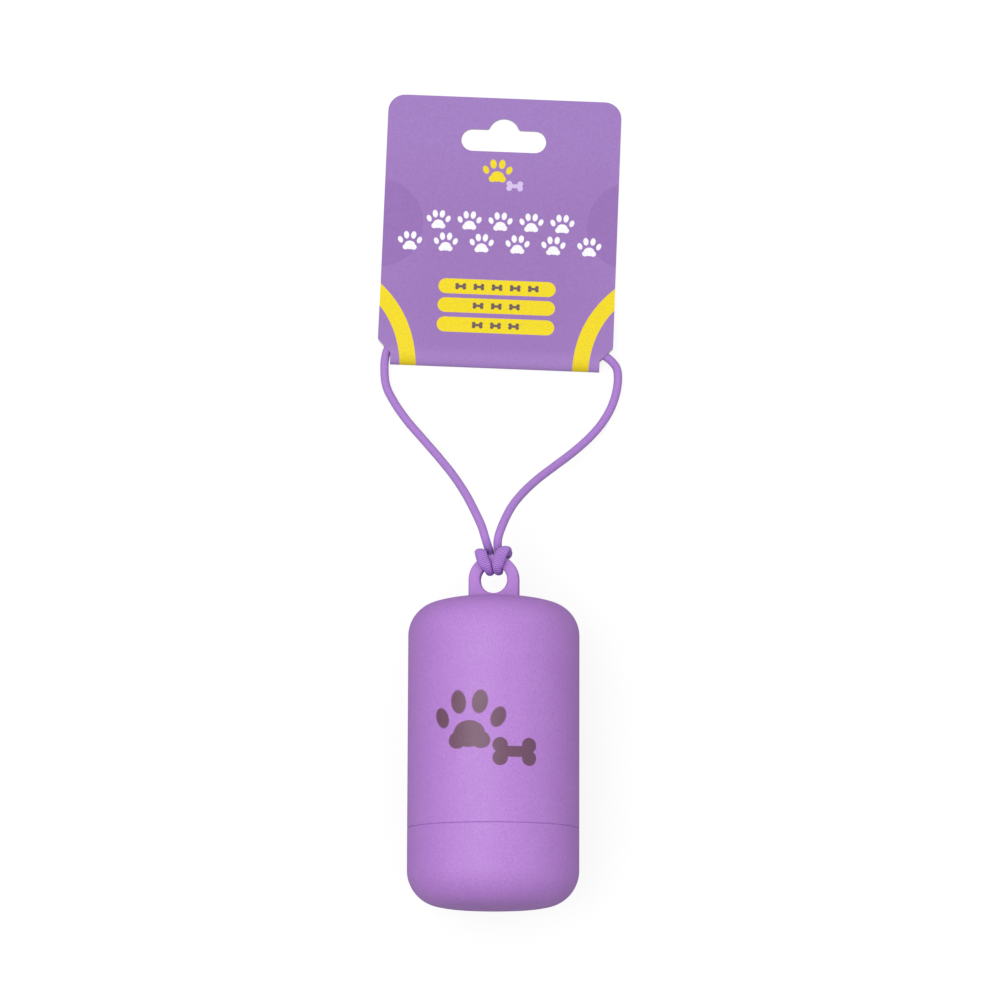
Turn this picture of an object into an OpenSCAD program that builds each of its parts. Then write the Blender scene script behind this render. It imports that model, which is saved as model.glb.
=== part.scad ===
// Pocket dispenser for rolls of dog waste bags, with its elastic hanging cord and folded header card.
// Lengths are in millimetres and angles in degrees. The set lies flat: z = 0 is the surface it lies on,
// the capsule is on its side along Y with its base towards -Y, and the card lies at the +Y end.

/* [Capsule] */
// Outer diameter of both shells
body_d = 44; // [40:0.5:56]
// Height of the closed capsule, without the lug
body_h = 80; // [76:0.5:110]
// Thickness of the moulded walls
wall = 2.4; // [1.6:0.1:3]
// Height of the parting line above the base
seam_h = 20.6; // [19:0.2:30]
// Rounding of both rims at the parting line
rim_round = 0.25; // [0.1:0.05:0.5]
// Radius of the flat middle of the top
top_flat_r = 5.5; // [4:0.5:7]
// Steepest slope of the domed top
top_slope = 16.5; // [12:0.5:20]
// Rounding of the shoulder
top_round = 8.8; // [6:0.2:10]
// Radius of the flat middle of the base
base_flat_r = 7.6; // [6:0.2:9]
// Steepest slope of the domed base
base_slope = 12.5; // [10:0.5:16]
// Rounding of the base's edge
base_round = 9.4; // [6:0.2:10]

/* [Neck] */
// How far the upper shell's neck reaches into the cup
neck_h = 7; // [5:0.5:8]
// Thickness of the neck
neck_wall = 1.6; // [1.2:0.1:2]
// Gap between the neck and the cup, on the radius
neck_gap = 0.2; // [0.15:0.05:0.4]
// Gap left by the neck's grip ribs, on the radius
rib_gap = 0.02; // [0.01:0.01:0.05]
// Width of each grip rib along the neck
rib_w = 1; // [0.8:0.1:1.4]
// Number of grip ribs
rib_count = 2; // [1:1:3]

/* [Bag slit] */
// Length of each arm of the cross slit, from end to end
slit_len = 20; // [14:1:22]
// Width of the slit
slit_w = 0.6; // [0.4:0.1:1]
// Diameter of the relief hole at each end of the slit
relief_d = 1.6; // [1.2:0.1:2]
// Turn of the cross slit about the capsule's axis
slit_turn = 45; // [0:15:75]
// Thickness of the base where the slit is
petal_t = 1.3; // [1:0.1:1.5]
// Radius of the thinned disc round the slit
petal_r = 12; // [11.5:0.5:12.5]

/* [Lug] */
// Width of the hanging lug
lug_w = 13; // [12:0.5:15]
// Thickness of the lug
lug_t = 3; // [2.4:0.2:3.2]
// Height of the centre of the lug's arch, and of its hole, above the capsule's top
lug_rise = 4.7; // [4.6:0.1:5.4]
// Diameter of the hole for the cord
lug_hole_d = 7; // [6.8:0.1:7.4]
// Rounding of the lug's edges
lug_edge = 0.5; // [0.2:0.1:0.6]

/* [Bag roll] */
// Diameter of the wound roll of bags
roll_d = 33; // [28:0.5:34]
// Length of the roll
roll_l = 60; // [50:1:62]
// Outer diameter of the cardboard core
core_d = 17; // [12:0.5:20]
// Wall of the core
core_wall = 0.8; // [0.5:0.1:1.5]
// How far the core stands out of the roll at each end
core_proud = 0.3; // [0:0.1:1]
// Gap between the roll and the neck it lies on
roll_gap = 0.3; // [0.2:0.1:0.6]
// Free length between the cup's floor and the roll
roll_clear = 5.6; // [5:0.2:8]

/* [Header card] */
// Width of the folded card
card_w = 62; // [60:0.5:66]
// Height of the folded card
card_h = 72.9; // [70:0.1:90]
// Thickness of each of its two panels
card_t = 0.4; // [0.3:0.05:0.5]
// Rounding of its upper corners
card_corner = 4.5; // [2:0.5:8]
// Width of the narrower end at the fold
tab_w = 55.2; // [54.6:0.2:56]
// Height at which the sides start to step in, above the fold
notch_top = 6.35; // [6:0.05:7]
// Height at which the step ends, above the fold
notch_low = 3.25; // [3:0.05:3.5]
// Room for the cord between the panels
pocket_h = 2.4; // [2.4:0.05:3]
// Length over which the fold rounds up to the pocket
fold_rise = 3.6; // [3:0.1:4]
// Length of the pocket's level part
pocket_level = 4.8; // [4.6:0.1:6]
// Length over which the front panel comes down to the back one
pocket_fall = 15.8; // [10:0.2:20]

/* [Hanger slot] */
// Overall length of the hanger slot
slot_w = 22.5; // [20:0.5:30]
// Height of the slot's straight part
slot_h = 5.9; // [4.5:0.1:7]
// Radius of the rise in the slot's middle
slot_hump_r = 4.1; // [3.6:0.1:5]
// How far the rise is centred above the slot's middle line
slot_hump_up = 1.9; // [1:0.1:2.5]
// Rounding where the rise meets the straight part
slot_round = 0.8; // [0.4:0.1:1]
// Distance from the card's upper edge to the slot's middle line
slot_down = 11.6; // [10:0.1:16]

/* [Layout] */
// Roll of the capsule about its own axis
capsule_roll = 7; // [0:1:15]
// Turn of the card, clockwise seen from above
card_turn = 2.1; // [0:0.1:4]

/* [Cord] */
// Diameter of the elastic cord
cord_d = 2.2; // [1.8:0.1:2.2]

/* [Hidden] */
$fn = 96;

shell_color = [0.74, 0.56, 0.85];
cord_color = [0.68, 0.48, 0.82];
card_color = [0.63, 0.50, 0.75];
core_color = [0.72, 0.60, 0.45];
film_color = [0.86, 0.84, 0.90];

// How far a cutting shape runs past the faces that it cuts
past = 1;

body_r = body_d / 2;
in_r = body_r - wall;
neck_r = in_r - neck_gap;
neck_in_r = neck_r - neck_wall;
neck_z = seam_h - neck_h;
neck_lead = 0.5;
step_z = seam_h + 2.5;
step_h = 3;
rib_r = in_r - rib_gap;
rib_pitch = neck_h / (rib_count + 1);
lead_in = 0.3;
recess_lip = 0.8;

lug_r = lug_w / 2;
lug_z = body_h + lug_rise;
lug_hole_r = lug_hole_d / 2;
lug_foot_z = body_h - wall / 2;

roll_r = roll_d / 2;
core_r = core_d / 2;
core_l = roll_l + 2 * core_proud;
roll_z = wall + roll_clear;
roll_drop = neck_in_r - roll_r - roll_gap;
roll_soft_edge = 0.6;

card_top = 2 * card_t + pocket_h;
card_half = card_w / 2;
tab_half = tab_w / 2;
notch_soft = 0.5;
pocket_end_v = fold_rise + pocket_level;
slot_v = card_h - slot_down;
slot_r = slot_h / 2;
fold_steps = 9;
fall_steps = 12;
inner_fall_steps = fall_steps - 1;

// The capsule's axis, its lug's arch centre and its base, and the middle of the card's fold
axis_x = -1.2;
lug_y = -23.9;
base_y = lug_y - lug_z;
fold_x = -1.3;
fold_y = 35.2;

cord_r = cord_d / 2;
cord_sides = 8;
// Direction that the first ring's first corner is turned towards
cord_up = [0.02, 0.05, 1];
// Free length between a swinging end of the cord and the rounded end that it swings on
swing_gap = 0.05;

// The hitch round the lug, from the left leg over the arch to the right leg: x across the lug,
// y towards its back, z above the arch's centre
hitch_points = [
    [-2.3, -0.2, 10.9], [-1.75, 0.85, 8.9], [-1.4, 2.3, 7.7],
    [-1.25, 2.75, 6.2], [-1.25, 2.65, 3.1], [-1.25, 1.75, 2],
    [-1.25, -1.75, 2], [-1.7, -2.65, 3], [-2.25, -2.8, 4],
    [-2.65, -2.8, 5.1], [-2.95, -2.6, 6.1], [-3.2, -1.8, 6.85],
    [-3.4, -0.5, 7.05], [-3.45, 1, 7], [-3.45, 2.6, 6.7],
    [-2.8, 4.4, 6.35], [-1.4, 5.1, 6.2], [0, 5.25, 6.25],
    [1.3, 5.1, 6.5], [2.7, 4.4, 6.9], [3.3, 2.8, 7.2],
    [3.35, 1.1, 7.55], [3.25, -0.5, 7.6], [2.75, -1.9, 7.4],
    [2.25, -2.65, 6.5], [1.75, -2.8, 5.4], [1.35, -2.8, 4.2],
    [1.1, -2.65, 3.1], [1, -1.75, 2.1], [1, 1.75, 2.1],
    [1, 2.65, 3.2], [1, 2.75, 6.2], [0.9, 2.3, 7.7],
    [0.8, 0.85, 8.9], [1, 0.2, 10.9]
];

// Each leg of the cord, from the lug, at the height of the capsule's axis, down to the surface and
// on to the card
leg_left_points = [
    [-3.5, -13, body_r - 0.1], [-4.4, -10, body_r - 0.7], [-6.7, -4.7, body_r - 3.1],
    [-9, 0, body_r - 6.5], [-12.2, 5.4, 10.8], [-16.1, 10.9, 6.2], [-20.3, 16.2, 2.9],
    [-24.4, 21.2, 1.4], [-27.7, 26, 1.2], [-29.8, 30.3, 1.2], [-30.4, 35.1, 1.2]
];
leg_right_points = [
    [-0.2, -13, body_r - 0.1], [0.8, -9.8, body_r - 0.7], [3.1, -4.7, body_r - 3],
    [5.9, -0.6, body_r - 6], [9.8, 3.7, 12.3], [14.6, 8, 8.5], [19.4, 12.2, 5.1],
    [23.6, 16.3, 2.9], [26.9, 20.3, 1.6], [29.4, 24.6, 1.2], [30.8, 28.9, 1.2],
    [31.2, 32.8, 1.2]
];

// The run between the card's panels: u across the card, v along it from its fold, z above the surface
run_points = [
    [-29, -1.1, 1.2], [-28.9, 1.5, 1.35], [-28.4, 3.7, 1.6], [-27.2, 5.5, 1.65],
    [-25, 6.6, 1.65], [-22, 6.8, 1.65], [-15, 6.8, 1.65], [-8, 6.8, 1.65],
    [-1, 6.8, 1.65], [6, 6.8, 1.65], [13, 6.8, 1.65], [19, 6.8, 1.65],
    [23, 6.5, 1.65], [27, 5.2, 1.65], [30.2, 3.4, 1.6], [32.1, 1.3, 1.35],
    [32.6, -1.1, 1.2]
];

// A point at an angle on a circle, and a rounding that follows the circle between two angles
function on_circle(centre, r, a) = [centre[0] + r * cos(a), centre[1] + r * sin(a)];
function rounding(centre, r, from, to, steps = 4) =
    [for (i = [0:steps]) on_circle(centre, r, from + (to - from) * i / steps)];

// Half of a capsule's end, from the axis to the wall, as [radius, depth below the tip]: a flat, a dome
// that reaches the given slope, and a rounding that ends on the wall. A wall inside it is concentric.
function dome_radius(r, flat_r, slope, round) = (r - flat_r - round * (1 - sin(slope))) / sin(slope);
function end_depth(r, flat_r, slope, round) =
    dome_radius(r, flat_r, slope, round) * (1 - cos(slope)) + round * cos(slope);
function end_curve(r, flat_r, slope, round, dome_steps = 6, round_steps = 12) =
    let (dome_r = dome_radius(r, flat_r, slope, round), depth = end_depth(r, flat_r, slope, round))
    concat(
        [for (i = [0:dome_steps]) let (a = slope * i / dome_steps)
            [flat_r + dome_r * sin(a), dome_r * (1 - cos(a))]],
        [for (i = [1:round_steps]) let (a = slope + (90 - slope) * i / round_steps)
            [r - round + round * sin(a), depth - round * cos(a)]]
    );
function reversed(list) = [for (i = [len(list) - 1:-1:0]) list[i]];

// Sections of the two shells, as [radius, height]
function top_outside() = [for (p = end_curve(body_r, top_flat_r, top_slope, top_round))
    [p[0], body_h - p[1]]];
function top_inside() = [for (p = end_curve(in_r, top_flat_r, top_slope, top_round - wall))
    [p[0], body_h - wall - p[1]]];
function base_outside() = [for (p = end_curve(body_r, base_flat_r, base_slope, base_round)) p];
function base_inside() = [for (p = end_curve(in_r, base_flat_r, base_slope, base_round - wall))
    [p[0], wall + p[1]]];
function rim_curve(r, z, start) = rounding([r - rim_round, z], rim_round, start, start + 90, 3);
function rib_section(z) = [
    [neck_r, z - rib_w / 2], [rib_r, z - rib_w / 4], [rib_r, z + rib_w / 4], [neck_r, z + rib_w / 2]
];

// Places the standing capsule, whose front is -Y, on its side with its front up
module lay_capsule() {
    translate([axis_x, base_y, body_r])
        rotate([0, -capsule_roll, 0])
            rotate([-90, 0, 0])
                children();
}

// Places the roll, which lies on the neck's lowest line
module lay_roll() {
    translate([axis_x, base_y + roll_z, body_r - roll_drop])
        rotate([-90, 0, 0])
            children();
}

module lay_card() {
    translate([fold_x, fold_y, 0])
        rotate([0, 0, -card_turn])
            children();
}

// A bar's rounded section, from the middle to its edge at r, as [radius, across]
function edged_section(r, t, edge) = concat(
    [[0, -t / 2]],
    rounding([r - edge, -t / 2 + edge], edge, -90, 0),
    rounding([r - edge, t / 2 - edge], edge, 0, 90),
    [[0, t / 2]]
);

module lug() {
    difference() {
        union() {
            translate([0, 0, lug_z])
                rotate([90, 0, 0])
                    rotate_extrude(angle = 180)
                        polygon(edged_section(lug_r, lug_t, lug_edge));
            translate([0, 0, lug_foot_z])
                linear_extrude(lug_z - lug_foot_z) {
                    polygon(edged_section(lug_r, lug_t, lug_edge));
                    mirror([1, 0])
                        polygon(edged_section(lug_r, lug_t, lug_edge));
                }
        }
        translate([0, 0, lug_z])
            rotate([90, 0, 0])
                rotate_extrude()
                    polygon(lug_hole_section());
    }
}

// The hole flares at both faces by the lug's own rounding
function lug_hole_section() = concat(
    [[0, -lug_t / 2 - past], [lug_hole_r + lug_edge, -lug_t / 2 - past]],
    rounding([lug_hole_r + lug_edge, -lug_t / 2 + lug_edge], lug_edge, 270, 180),
    rounding([lug_hole_r + lug_edge, lug_t / 2 - lug_edge], lug_edge, 180, 90),
    [[lug_hole_r + lug_edge, lug_t / 2 + past], [0, lug_t / 2 + past]]
);

module upper_shell() {
    color(shell_color)
        lay_capsule()
            union() {
                rotate_extrude()
                    polygon(concat(
                        [[neck_in_r, neck_z], [neck_r - neck_lead, neck_z], [neck_r, neck_z + neck_lead]],
                        [for (i = [1:rib_count]) each rib_section(neck_z + rib_pitch * i)],
                        [[neck_r, seam_h]],
                        rim_curve(body_r, seam_h + rim_round, -90),
                        reversed(top_outside()),
                        [[0, body_h], [0, body_h - wall]],
                        top_inside(),
                        [[in_r, step_z + step_h], [neck_in_r, step_z]]
                    ));
                lug();
            }
}

module lower_cup() {
    recess_out = petal_r + recess_lip;
    color(shell_color)
        lay_capsule()
            difference() {
                rotate_extrude()
                    polygon(concat(
                        [[0, petal_t], [0, 0]],
                        base_outside(),
                        rim_curve(body_r, seam_h - rim_round, 0),
                        [[in_r + lead_in, seam_h], [in_r, seam_h - lead_in]],
                        [for (p = reversed(base_inside())) if (p[0] > recess_out) p],
                        [[petal_r, petal_t]]
                    ));
                for (a = [0, 90])
                    rotate([0, 0, slit_turn + a])
                        bag_slit();
            }
}

module bag_slit() {
    slit_deep = petal_t + 2 * past;
    arm = slit_len / 2 - relief_d / 2;
    translate([-arm, -slit_w / 2, -past])
        cube([2 * arm, slit_w, slit_deep]);
    for (side = [-1, 1])
        translate([side * arm, 0, -past])
            cylinder(d = relief_d, h = slit_deep);
}

module bag_roll() {
    color(film_color)
        lay_roll()
            rotate_extrude()
                polygon(concat(
                    [[core_r, 0]],
                    rounding([roll_r - roll_soft_edge, roll_soft_edge], roll_soft_edge, -90, 0),
                    rounding([roll_r - roll_soft_edge, roll_l - roll_soft_edge], roll_soft_edge, 0, 90),
                    [[core_r, roll_l]]
                ));
}

module roll_core() {
    color(core_color)
        lay_roll()
            translate([0, 0, -core_proud])
                difference() {
                    cylinder(r = core_r, h = core_l);
                    translate([0, 0, -past])
                        cylinder(r = core_r - core_wall, h = core_l + 2 * past);
                }
}

// The card's outline, seen from above: its right side from the upper corner to past the fold, and the
// left side as its mirror image. The section rounds the fold itself.
function card_side() = concat(
    rounding([card_half - card_corner, card_h - card_corner], card_corner, 90, 0, 6),
    [
        [card_half, notch_top],
        [tab_half + notch_soft, notch_low],
        [tab_half, notch_low - notch_soft],
        [tab_half, -past]
    ]
);
function card_outline() = concat(card_side(), [for (p = reversed(card_side())) [-p[0], p[1]]]);

// The folded card's section along its height: the front panel rounds up from the fold, runs level
// over the cord and comes down to lie on the back panel
function fold_curve(inset) = [for (i = [0:fold_steps]) let (a = 90 * i / fold_steps)
    [fold_rise - (fold_rise - inset) * cos(a), card_t + (card_top - card_t - inset) * sin(a)]];
function fall_curve(inset, last) = [for (i = [0:last])
    [pocket_end_v + pocket_fall * i / fall_steps,
        card_top - inset - pocket_h * (1 - cos(180 * i / fall_steps)) / 2]];

module card_section() {
    difference() {
        polygon(concat(
            [[card_h + past, 0], [card_t, 0], [card_t / 4, card_t / 4]],
            fold_curve(0),
            fall_curve(0, fall_steps),
            [[card_h + past, 2 * card_t]]
        ));
        polygon(concat(
            fold_curve(card_t),
            fall_curve(card_t, inner_fall_steps),
            [[pocket_end_v + pocket_fall * inner_fall_steps / fall_steps, card_t]]
        ));
    }
}

// Right half of the hanger slot, from its lowest line round the end and over the rise: the rise runs
// into the straight part through a small rounding
function slot_side() =
    let (
        round_v = slot_r + slot_round,
        round_u = sqrt(pow(slot_hump_r + slot_round, 2) - pow(round_v - slot_hump_up, 2)),
        lean = asin((round_v - slot_hump_up) / (slot_hump_r + slot_round))
    )
    concat(
        rounding([slot_w / 2 - slot_r, 0], slot_r, -90, 90, 12),
        rounding([round_u, round_v], slot_round, -90, lean - 180),
        [for (i = [1:5]) on_circle([0, slot_hump_up], slot_hump_r, lean + (90 - lean) * i / 6)]
    );
function slot_outline() = concat(
    slot_side(), [[0, slot_hump_up + slot_hump_r]], [for (p = reversed(slot_side())) [-p[0], p[1]]]
);

module header_card() {
    color(card_color)
        lay_card()
            difference() {
                intersection() {
                    translate([-card_half - past, 0, 0])
                        rotate([90, 0, 90])
                            linear_extrude(card_w + 2 * past)
                                card_section();
                    translate([0, 0, -past])
                        linear_extrude(card_top + 2 * past)
                            polygon(card_outline());
                }
                translate([0, slot_v, -past])
                    linear_extrude(card_top + 2 * past)
                        polygon(slot_outline());
            }
}

// A tube swept through points: its section is carried along without twist
function unit(v) = v / norm(v);
function tangents(p) = [for (i = [0:len(p) - 1]) unit(p[min(i + 1, len(p) - 1)] - p[max(i - 1, 0)])];
function carried(t, last, i = 0) = i == len(t)
    ? []
    : let (n = unit(last - (last * t[i]) * t[i])) concat([n], carried(t, n, i + 1));
function ring(centre, n, t, r) = [for (k = [0:cord_sides - 1]) let (a = 360 * (k + 0.5) / cord_sides)
    centre + r * (cos(a) * n + sin(a) * cross(t, n))];

// Rings that round a free end off as half a ball about the end point
cap_angles = [30, 65];
function cap_centres(end, out) = [for (a = cap_angles) end + cord_r * sin(a) * out];
cap_radii = [for (a = cap_angles) cord_r * cos(a)];

module swept_tube(centres, radii, t) {
    n = carried(t, cord_up);
    count = len(centres);
    rings = [for (i = [0:count - 1]) each ring(centres[i], n[i], t[i], radii[i])];
    side_faces = [for (i = [0:count - 2]) for (k = [0:cord_sides - 1])
        let (a = i * cord_sides + k, b = i * cord_sides + (k + 1) % cord_sides)
            each [[a, b, b + cord_sides], [a, b + cord_sides, a + cord_sides]]];
    start_face = [for (k = [cord_sides - 1:-1:0]) k];
    end_face = [for (k = [0:cord_sides - 1]) (count - 1) * cord_sides + k];
    polyhedron(points = rings, faces = concat([end_face], [start_face], side_faces));
}

// A stretch of cord whose two ends are rounded
module rounded_cord(points) {
    t = tangents(points);
    last = len(points) - 1;
    centres = concat(reversed(cap_centres(points[0], -t[0])), points, cap_centres(points[last], t[last]));
    radii = concat(reversed(cap_radii), [for (p = points) cord_r], cap_radii);
    directions = concat([for (a = cap_angles) t[0]], t, [for (a = cap_angles) t[last]]);
    swept_tube(centres, radii, directions);
}

// A stretch of cord whose two ends stop just short of the rounded ends that they swing on
module swinging_cord(points) {
    t = tangents(points);
    last = len(points) - 1;
    short = cord_r + swing_gap;
    centres = [for (i = [0:last])
        i == 0 ? points[0] + short * t[0] : i == last ? points[last] - short * t[last] : points[i]];
    swept_tube(centres, [for (p = points) cord_r], t);
}

module cord_hitch() {
    color(cord_color)
        lay_capsule()
            translate([0, 0, lug_z])
                rounded_cord(hitch_points);
}

module cord_leg_left() {
    color(cord_color)
        swinging_cord(leg_left_points);
}

module cord_leg_right() {
    color(cord_color)
        swinging_cord(leg_right_points);
}

module cord_run() {
    color(cord_color)
        lay_card()
            rounded_cord(run_points);
}

upper_shell();
lower_cup();
bag_roll();
roll_core();
header_card();
cord_hitch();
cord_leg_left();
cord_leg_right();
cord_run();
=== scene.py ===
"""Pocket dispenser for rolls of dog waste bags, with its elastic cord and folded header card.

Shapes are worked out in millimetres and set down in metres. Each part's class holds its sizes,
builds its mesh in the part's own frame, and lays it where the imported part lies.
"""

import logging
import math
from dataclasses import dataclass, field
from enum import Enum
from typing import Callable, Sequence

import bmesh
import bpy
from mathutils import Matrix, Vector


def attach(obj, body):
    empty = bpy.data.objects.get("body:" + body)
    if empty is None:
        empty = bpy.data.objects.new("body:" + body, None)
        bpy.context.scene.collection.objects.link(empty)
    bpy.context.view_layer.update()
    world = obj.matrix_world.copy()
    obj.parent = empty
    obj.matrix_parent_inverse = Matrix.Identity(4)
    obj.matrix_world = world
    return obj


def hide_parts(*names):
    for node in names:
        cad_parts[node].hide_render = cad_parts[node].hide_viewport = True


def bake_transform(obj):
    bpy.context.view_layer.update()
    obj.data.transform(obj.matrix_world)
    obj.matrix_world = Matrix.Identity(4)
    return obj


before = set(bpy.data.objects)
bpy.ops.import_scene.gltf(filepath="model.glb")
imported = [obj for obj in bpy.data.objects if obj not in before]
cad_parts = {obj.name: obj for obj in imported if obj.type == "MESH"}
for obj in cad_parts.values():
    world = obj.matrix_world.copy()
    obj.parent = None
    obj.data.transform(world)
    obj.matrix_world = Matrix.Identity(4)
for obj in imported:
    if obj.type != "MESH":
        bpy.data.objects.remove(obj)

LOG = logging.getLogger("dispenser")
MM = 0.001
MERGE = 1e-4
# Two heights or radii closer than this, in millimetres, count as one
TOUCH = 1e-3
# The least angle between two faces, in radians, that counts as a crease
CREASE = 1.0
BISECTIONS = 40
WHITE = (1.0, 1.0, 1.0, 1.0)
# The share of the glossy rays that see the background as white as the camera does
GLOSSY_SHARE = 0.1

Spot = tuple[float, float]
Section = list[Spot]
Triple = tuple[float, float, float]
# A domed end: its flat's radius, its steepest slope in degrees, and the rounding to the wall
End = Triple
Tone = tuple[float, ...]
Place = Callable[[int, int], Vector]
Chart = Callable[[Vector], Spot]
Socket = bpy.types.NodeSocket
Inputs = dict[str | int, object]
Material = bpy.types.Material
Piece = bpy.types.Object
Mesh = bmesh.types.BMesh


class Body(Enum):
    """The bodies that pieces ride on."""

    DISPENSER = "dispenser"
    CUP = "lower_cup"
    ROLL = "bag_roll"
    LEGS = "cord_legs"
    CARD = "header_card"


class Slot(Enum):
    """Names for the material slots of the finishes."""

    SILICONE = "silicone"
    FILM = "film"
    CORE = "core_board"
    CARD = "card"
    CORD = "cord"


def tone(red: float, green: float, blue: float) -> Tone:
    """Turns a display colour into the linear one that shaders take.

    Args:
        red: Display red, 0 to 255.
        green: Display green, 0 to 255.
        blue: Display blue, 0 to 255.

    Returns:
        Linear red, green, blue and an alpha of 1.
    """
    channels = [c / 255 for c in (red, green, blue)]
    linear = [c / 12.92 if c <= 0.04045 else ((c + 0.055) / 1.055) ** 2.4 for c in channels]
    return (*linear, 1.0)


# ---------------------------------------------------------------- node trees


class Graph:
    """The node tree of a material or of the world, built from short calls that each return a socket."""

    def __init__(self, owner: Material | bpy.types.World) -> None:
        """Starts an empty tree.

        Args:
            owner: The material or world.
        """
        owner.use_nodes = True
        self.owner = owner
        self.nodes = owner.node_tree.nodes
        self.links = owner.node_tree.links
        self.nodes.clear()

    def add(self, kind: str, inputs: Inputs | None = None, **settings: object) -> bpy.types.Node:
        """Adds a node.

        Args:
            kind: The node's type name.
            inputs: A socket to link or a value to set, for each input by name or number.
            **settings: The node's own settings.

        Returns:
            The node.
        """
        node = self.nodes.new(kind)
        for key, value in settings.items():
            setattr(node, key, value)
        for key, value in (inputs or {}).items():
            if isinstance(value, Socket):
                self.links.new(value, node.inputs[key])
            else:
                node.inputs[key].default_value = value
        return node

    def calc(
        self, operation: str, a: object, b: object = 0.0, c: object = 0.0, clamp: bool = False
    ) -> Socket:
        """Adds a Math node.

        Args:
            operation: The operation's name.
            a: First input, a socket or a number.
            b: Second input.
            c: Third input.
            clamp: Whether the result is kept from 0 to 1.

        Returns:
            The result.
        """
        node = self.add("ShaderNodeMath", {0: a, 1: b, 2: c}, operation=operation, use_clamp=clamp)
        return node.outputs[0]

    def times(self, a: object, b: object) -> Socket:
        """Multiplies two numbers."""
        return self.calc("MULTIPLY", a, b)

    def both(self, a: object, b: object) -> Socket:
        """Gives the greater of two numbers, and so joins two masks."""
        return self.calc("MAXIMUM", a, b)

    def length(self, vector: Socket) -> Socket:
        """Gives a vector's length."""
        return self.add("ShaderNodeVectorMath", {0: vector}, operation="LENGTH").outputs["Value"]

    def mix(self, factor: object, a: object, b: object) -> Socket:
        """Mixes two colours.

        Args:
            factor: How much of b shows.
            a: The first colour.
            b: The second colour.

        Returns:
            The mixed colour.
        """
        return self.add("ShaderNodeMix", {0: factor, 6: a, 7: b}, data_type="RGBA").outputs[2]

    def span(
        self, value: object, low: float, high: float, to_low: float = 0.0, to_high: float = 1.0
    ) -> Socket:
        """Maps a range to another and clamps it there.

        Args:
            value: What is mapped.
            low: The value that gives to_low.
            high: The value that gives to_high.
            to_low: Result at low.
            to_high: Result at high.

        Returns:
            The mapped value.
        """
        inputs = {0: value, 1: low, 2: high, 3: to_low, 4: to_high}
        return self.add("ShaderNodeMapRange", inputs, clamp=True).outputs[0]

    def object_place(self) -> Socket:
        """Gives the Object coordinates."""
        return self.add("ShaderNodeTexCoord").outputs["Object"]

    def chart_place(self, name: str) -> Socket:
        """Gives a UV map's coordinates."""
        return self.add("ShaderNodeUVMap", uv_map=name).outputs[0]

    def parts(self, vector: Socket) -> tuple[Socket, Socket, Socket]:
        """Splits a vector into its three numbers."""
        node = self.add("ShaderNodeSeparateXYZ", {0: vector})
        return node.outputs[0], node.outputs[1], node.outputs[2]

    def joined(self, x: object, y: object, z: object = 0.0) -> Socket:
        """Joins three numbers into a vector."""
        return self.add("ShaderNodeCombineXYZ", {0: x, 1: y, 2: z}).outputs[0]

    def noise(self, vector: Socket, scale: float, detail: float = 2.0, rough: float = 0.5) -> Socket:
        """Adds a noise texture.

        Args:
            vector: Where it is read.
            scale: Its scale, in lumps to the metre.
            detail: How many finer layers it has.
            rough: How strong the finer layers are.

        Returns:
            The noise, from 0 to 1.
        """
        inputs = {"Vector": vector, "Scale": scale, "Detail": detail, "Roughness": rough}
        return self.add("ShaderNodeTexNoise", inputs).outputs[0]

    def bump(
        self, height: Socket, distance: float, strength: float = 1.0, under: Socket | None = None
    ) -> Socket:
        """Adds a bump.

        Args:
            height: The relief, from 0 to 1.
            distance: The relief's depth in metres.
            strength: How strongly it shows.
            under: A normal that it builds on.

        Returns:
            The normal.
        """
        inputs: Inputs = {"Height": height, "Distance": distance, "Strength": strength}
        if under is not None:
            inputs["Normal"] = under
        return self.add("ShaderNodeBump", inputs).outputs[0]

    def surface(self, **inputs: object) -> Material:
        """Ends the tree in one Principled shader.

        Args:
            **inputs: Its inputs, with _ for each space in a name.

        Returns:
            The material.
        """
        named = {key.replace("_", " "): value for key, value in inputs.items()}
        shader = self.add("ShaderNodeBsdfPrincipled", named)
        self.add("ShaderNodeOutputMaterial", {0: shader.outputs[0]})
        return self.owner

    def background_rays(self, glossy_share: float) -> Socket:
        """Picks out the rays that see a white background: the camera's, those through glass, a few glossy.

        Args:
            glossy_share: The share of the glossy rays.

        Returns:
            1 for such a ray and 0 for any other.
        """
        rays = self.add("ShaderNodeLightPath").outputs
        glossy = self.times(rays["Is Glossy Ray"], glossy_share)
        return self.both(self.both(rays["Is Camera Ray"], glossy), rays["Is Transmission Ray"])

    # Flat figures on a chart in millimetres. Each gives 1 inside and 0 outside.

    def moved(self, chart: Socket, centre: Spot, turn: float = 0.0, size: Spot = (1.0, 1.0)) -> Socket:
        """Reads the chart from another centre, turned and scaled.

        Args:
            chart: The chart.
            centre: The new centre.
            turn: The new frame's turn in degrees.
            size: The new frame's units.

        Returns:
            The coordinates in the new frame.
        """
        inputs = {
            "Vector": chart,
            "Location": (*centre, 0.0),
            "Rotation": (0.0, 0.0, math.radians(turn)),
            "Scale": (*size, 1.0),
        }
        return self.add("ShaderNodeMapping", inputs, vector_type="TEXTURE").outputs[0]

    def disc(self, chart: Socket, centre: Spot, radius: float, soft: float = 0.06) -> Socket:
        """Gives a filled circle.

        Args:
            chart: The chart.
            centre: The circle's centre.
            radius: Its radius.
            soft: Half the width over which its edge fades.

        Returns:
            The mask.
        """
        return self.span(self.length(self.moved(chart, centre)), radius + soft, radius - soft)

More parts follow.
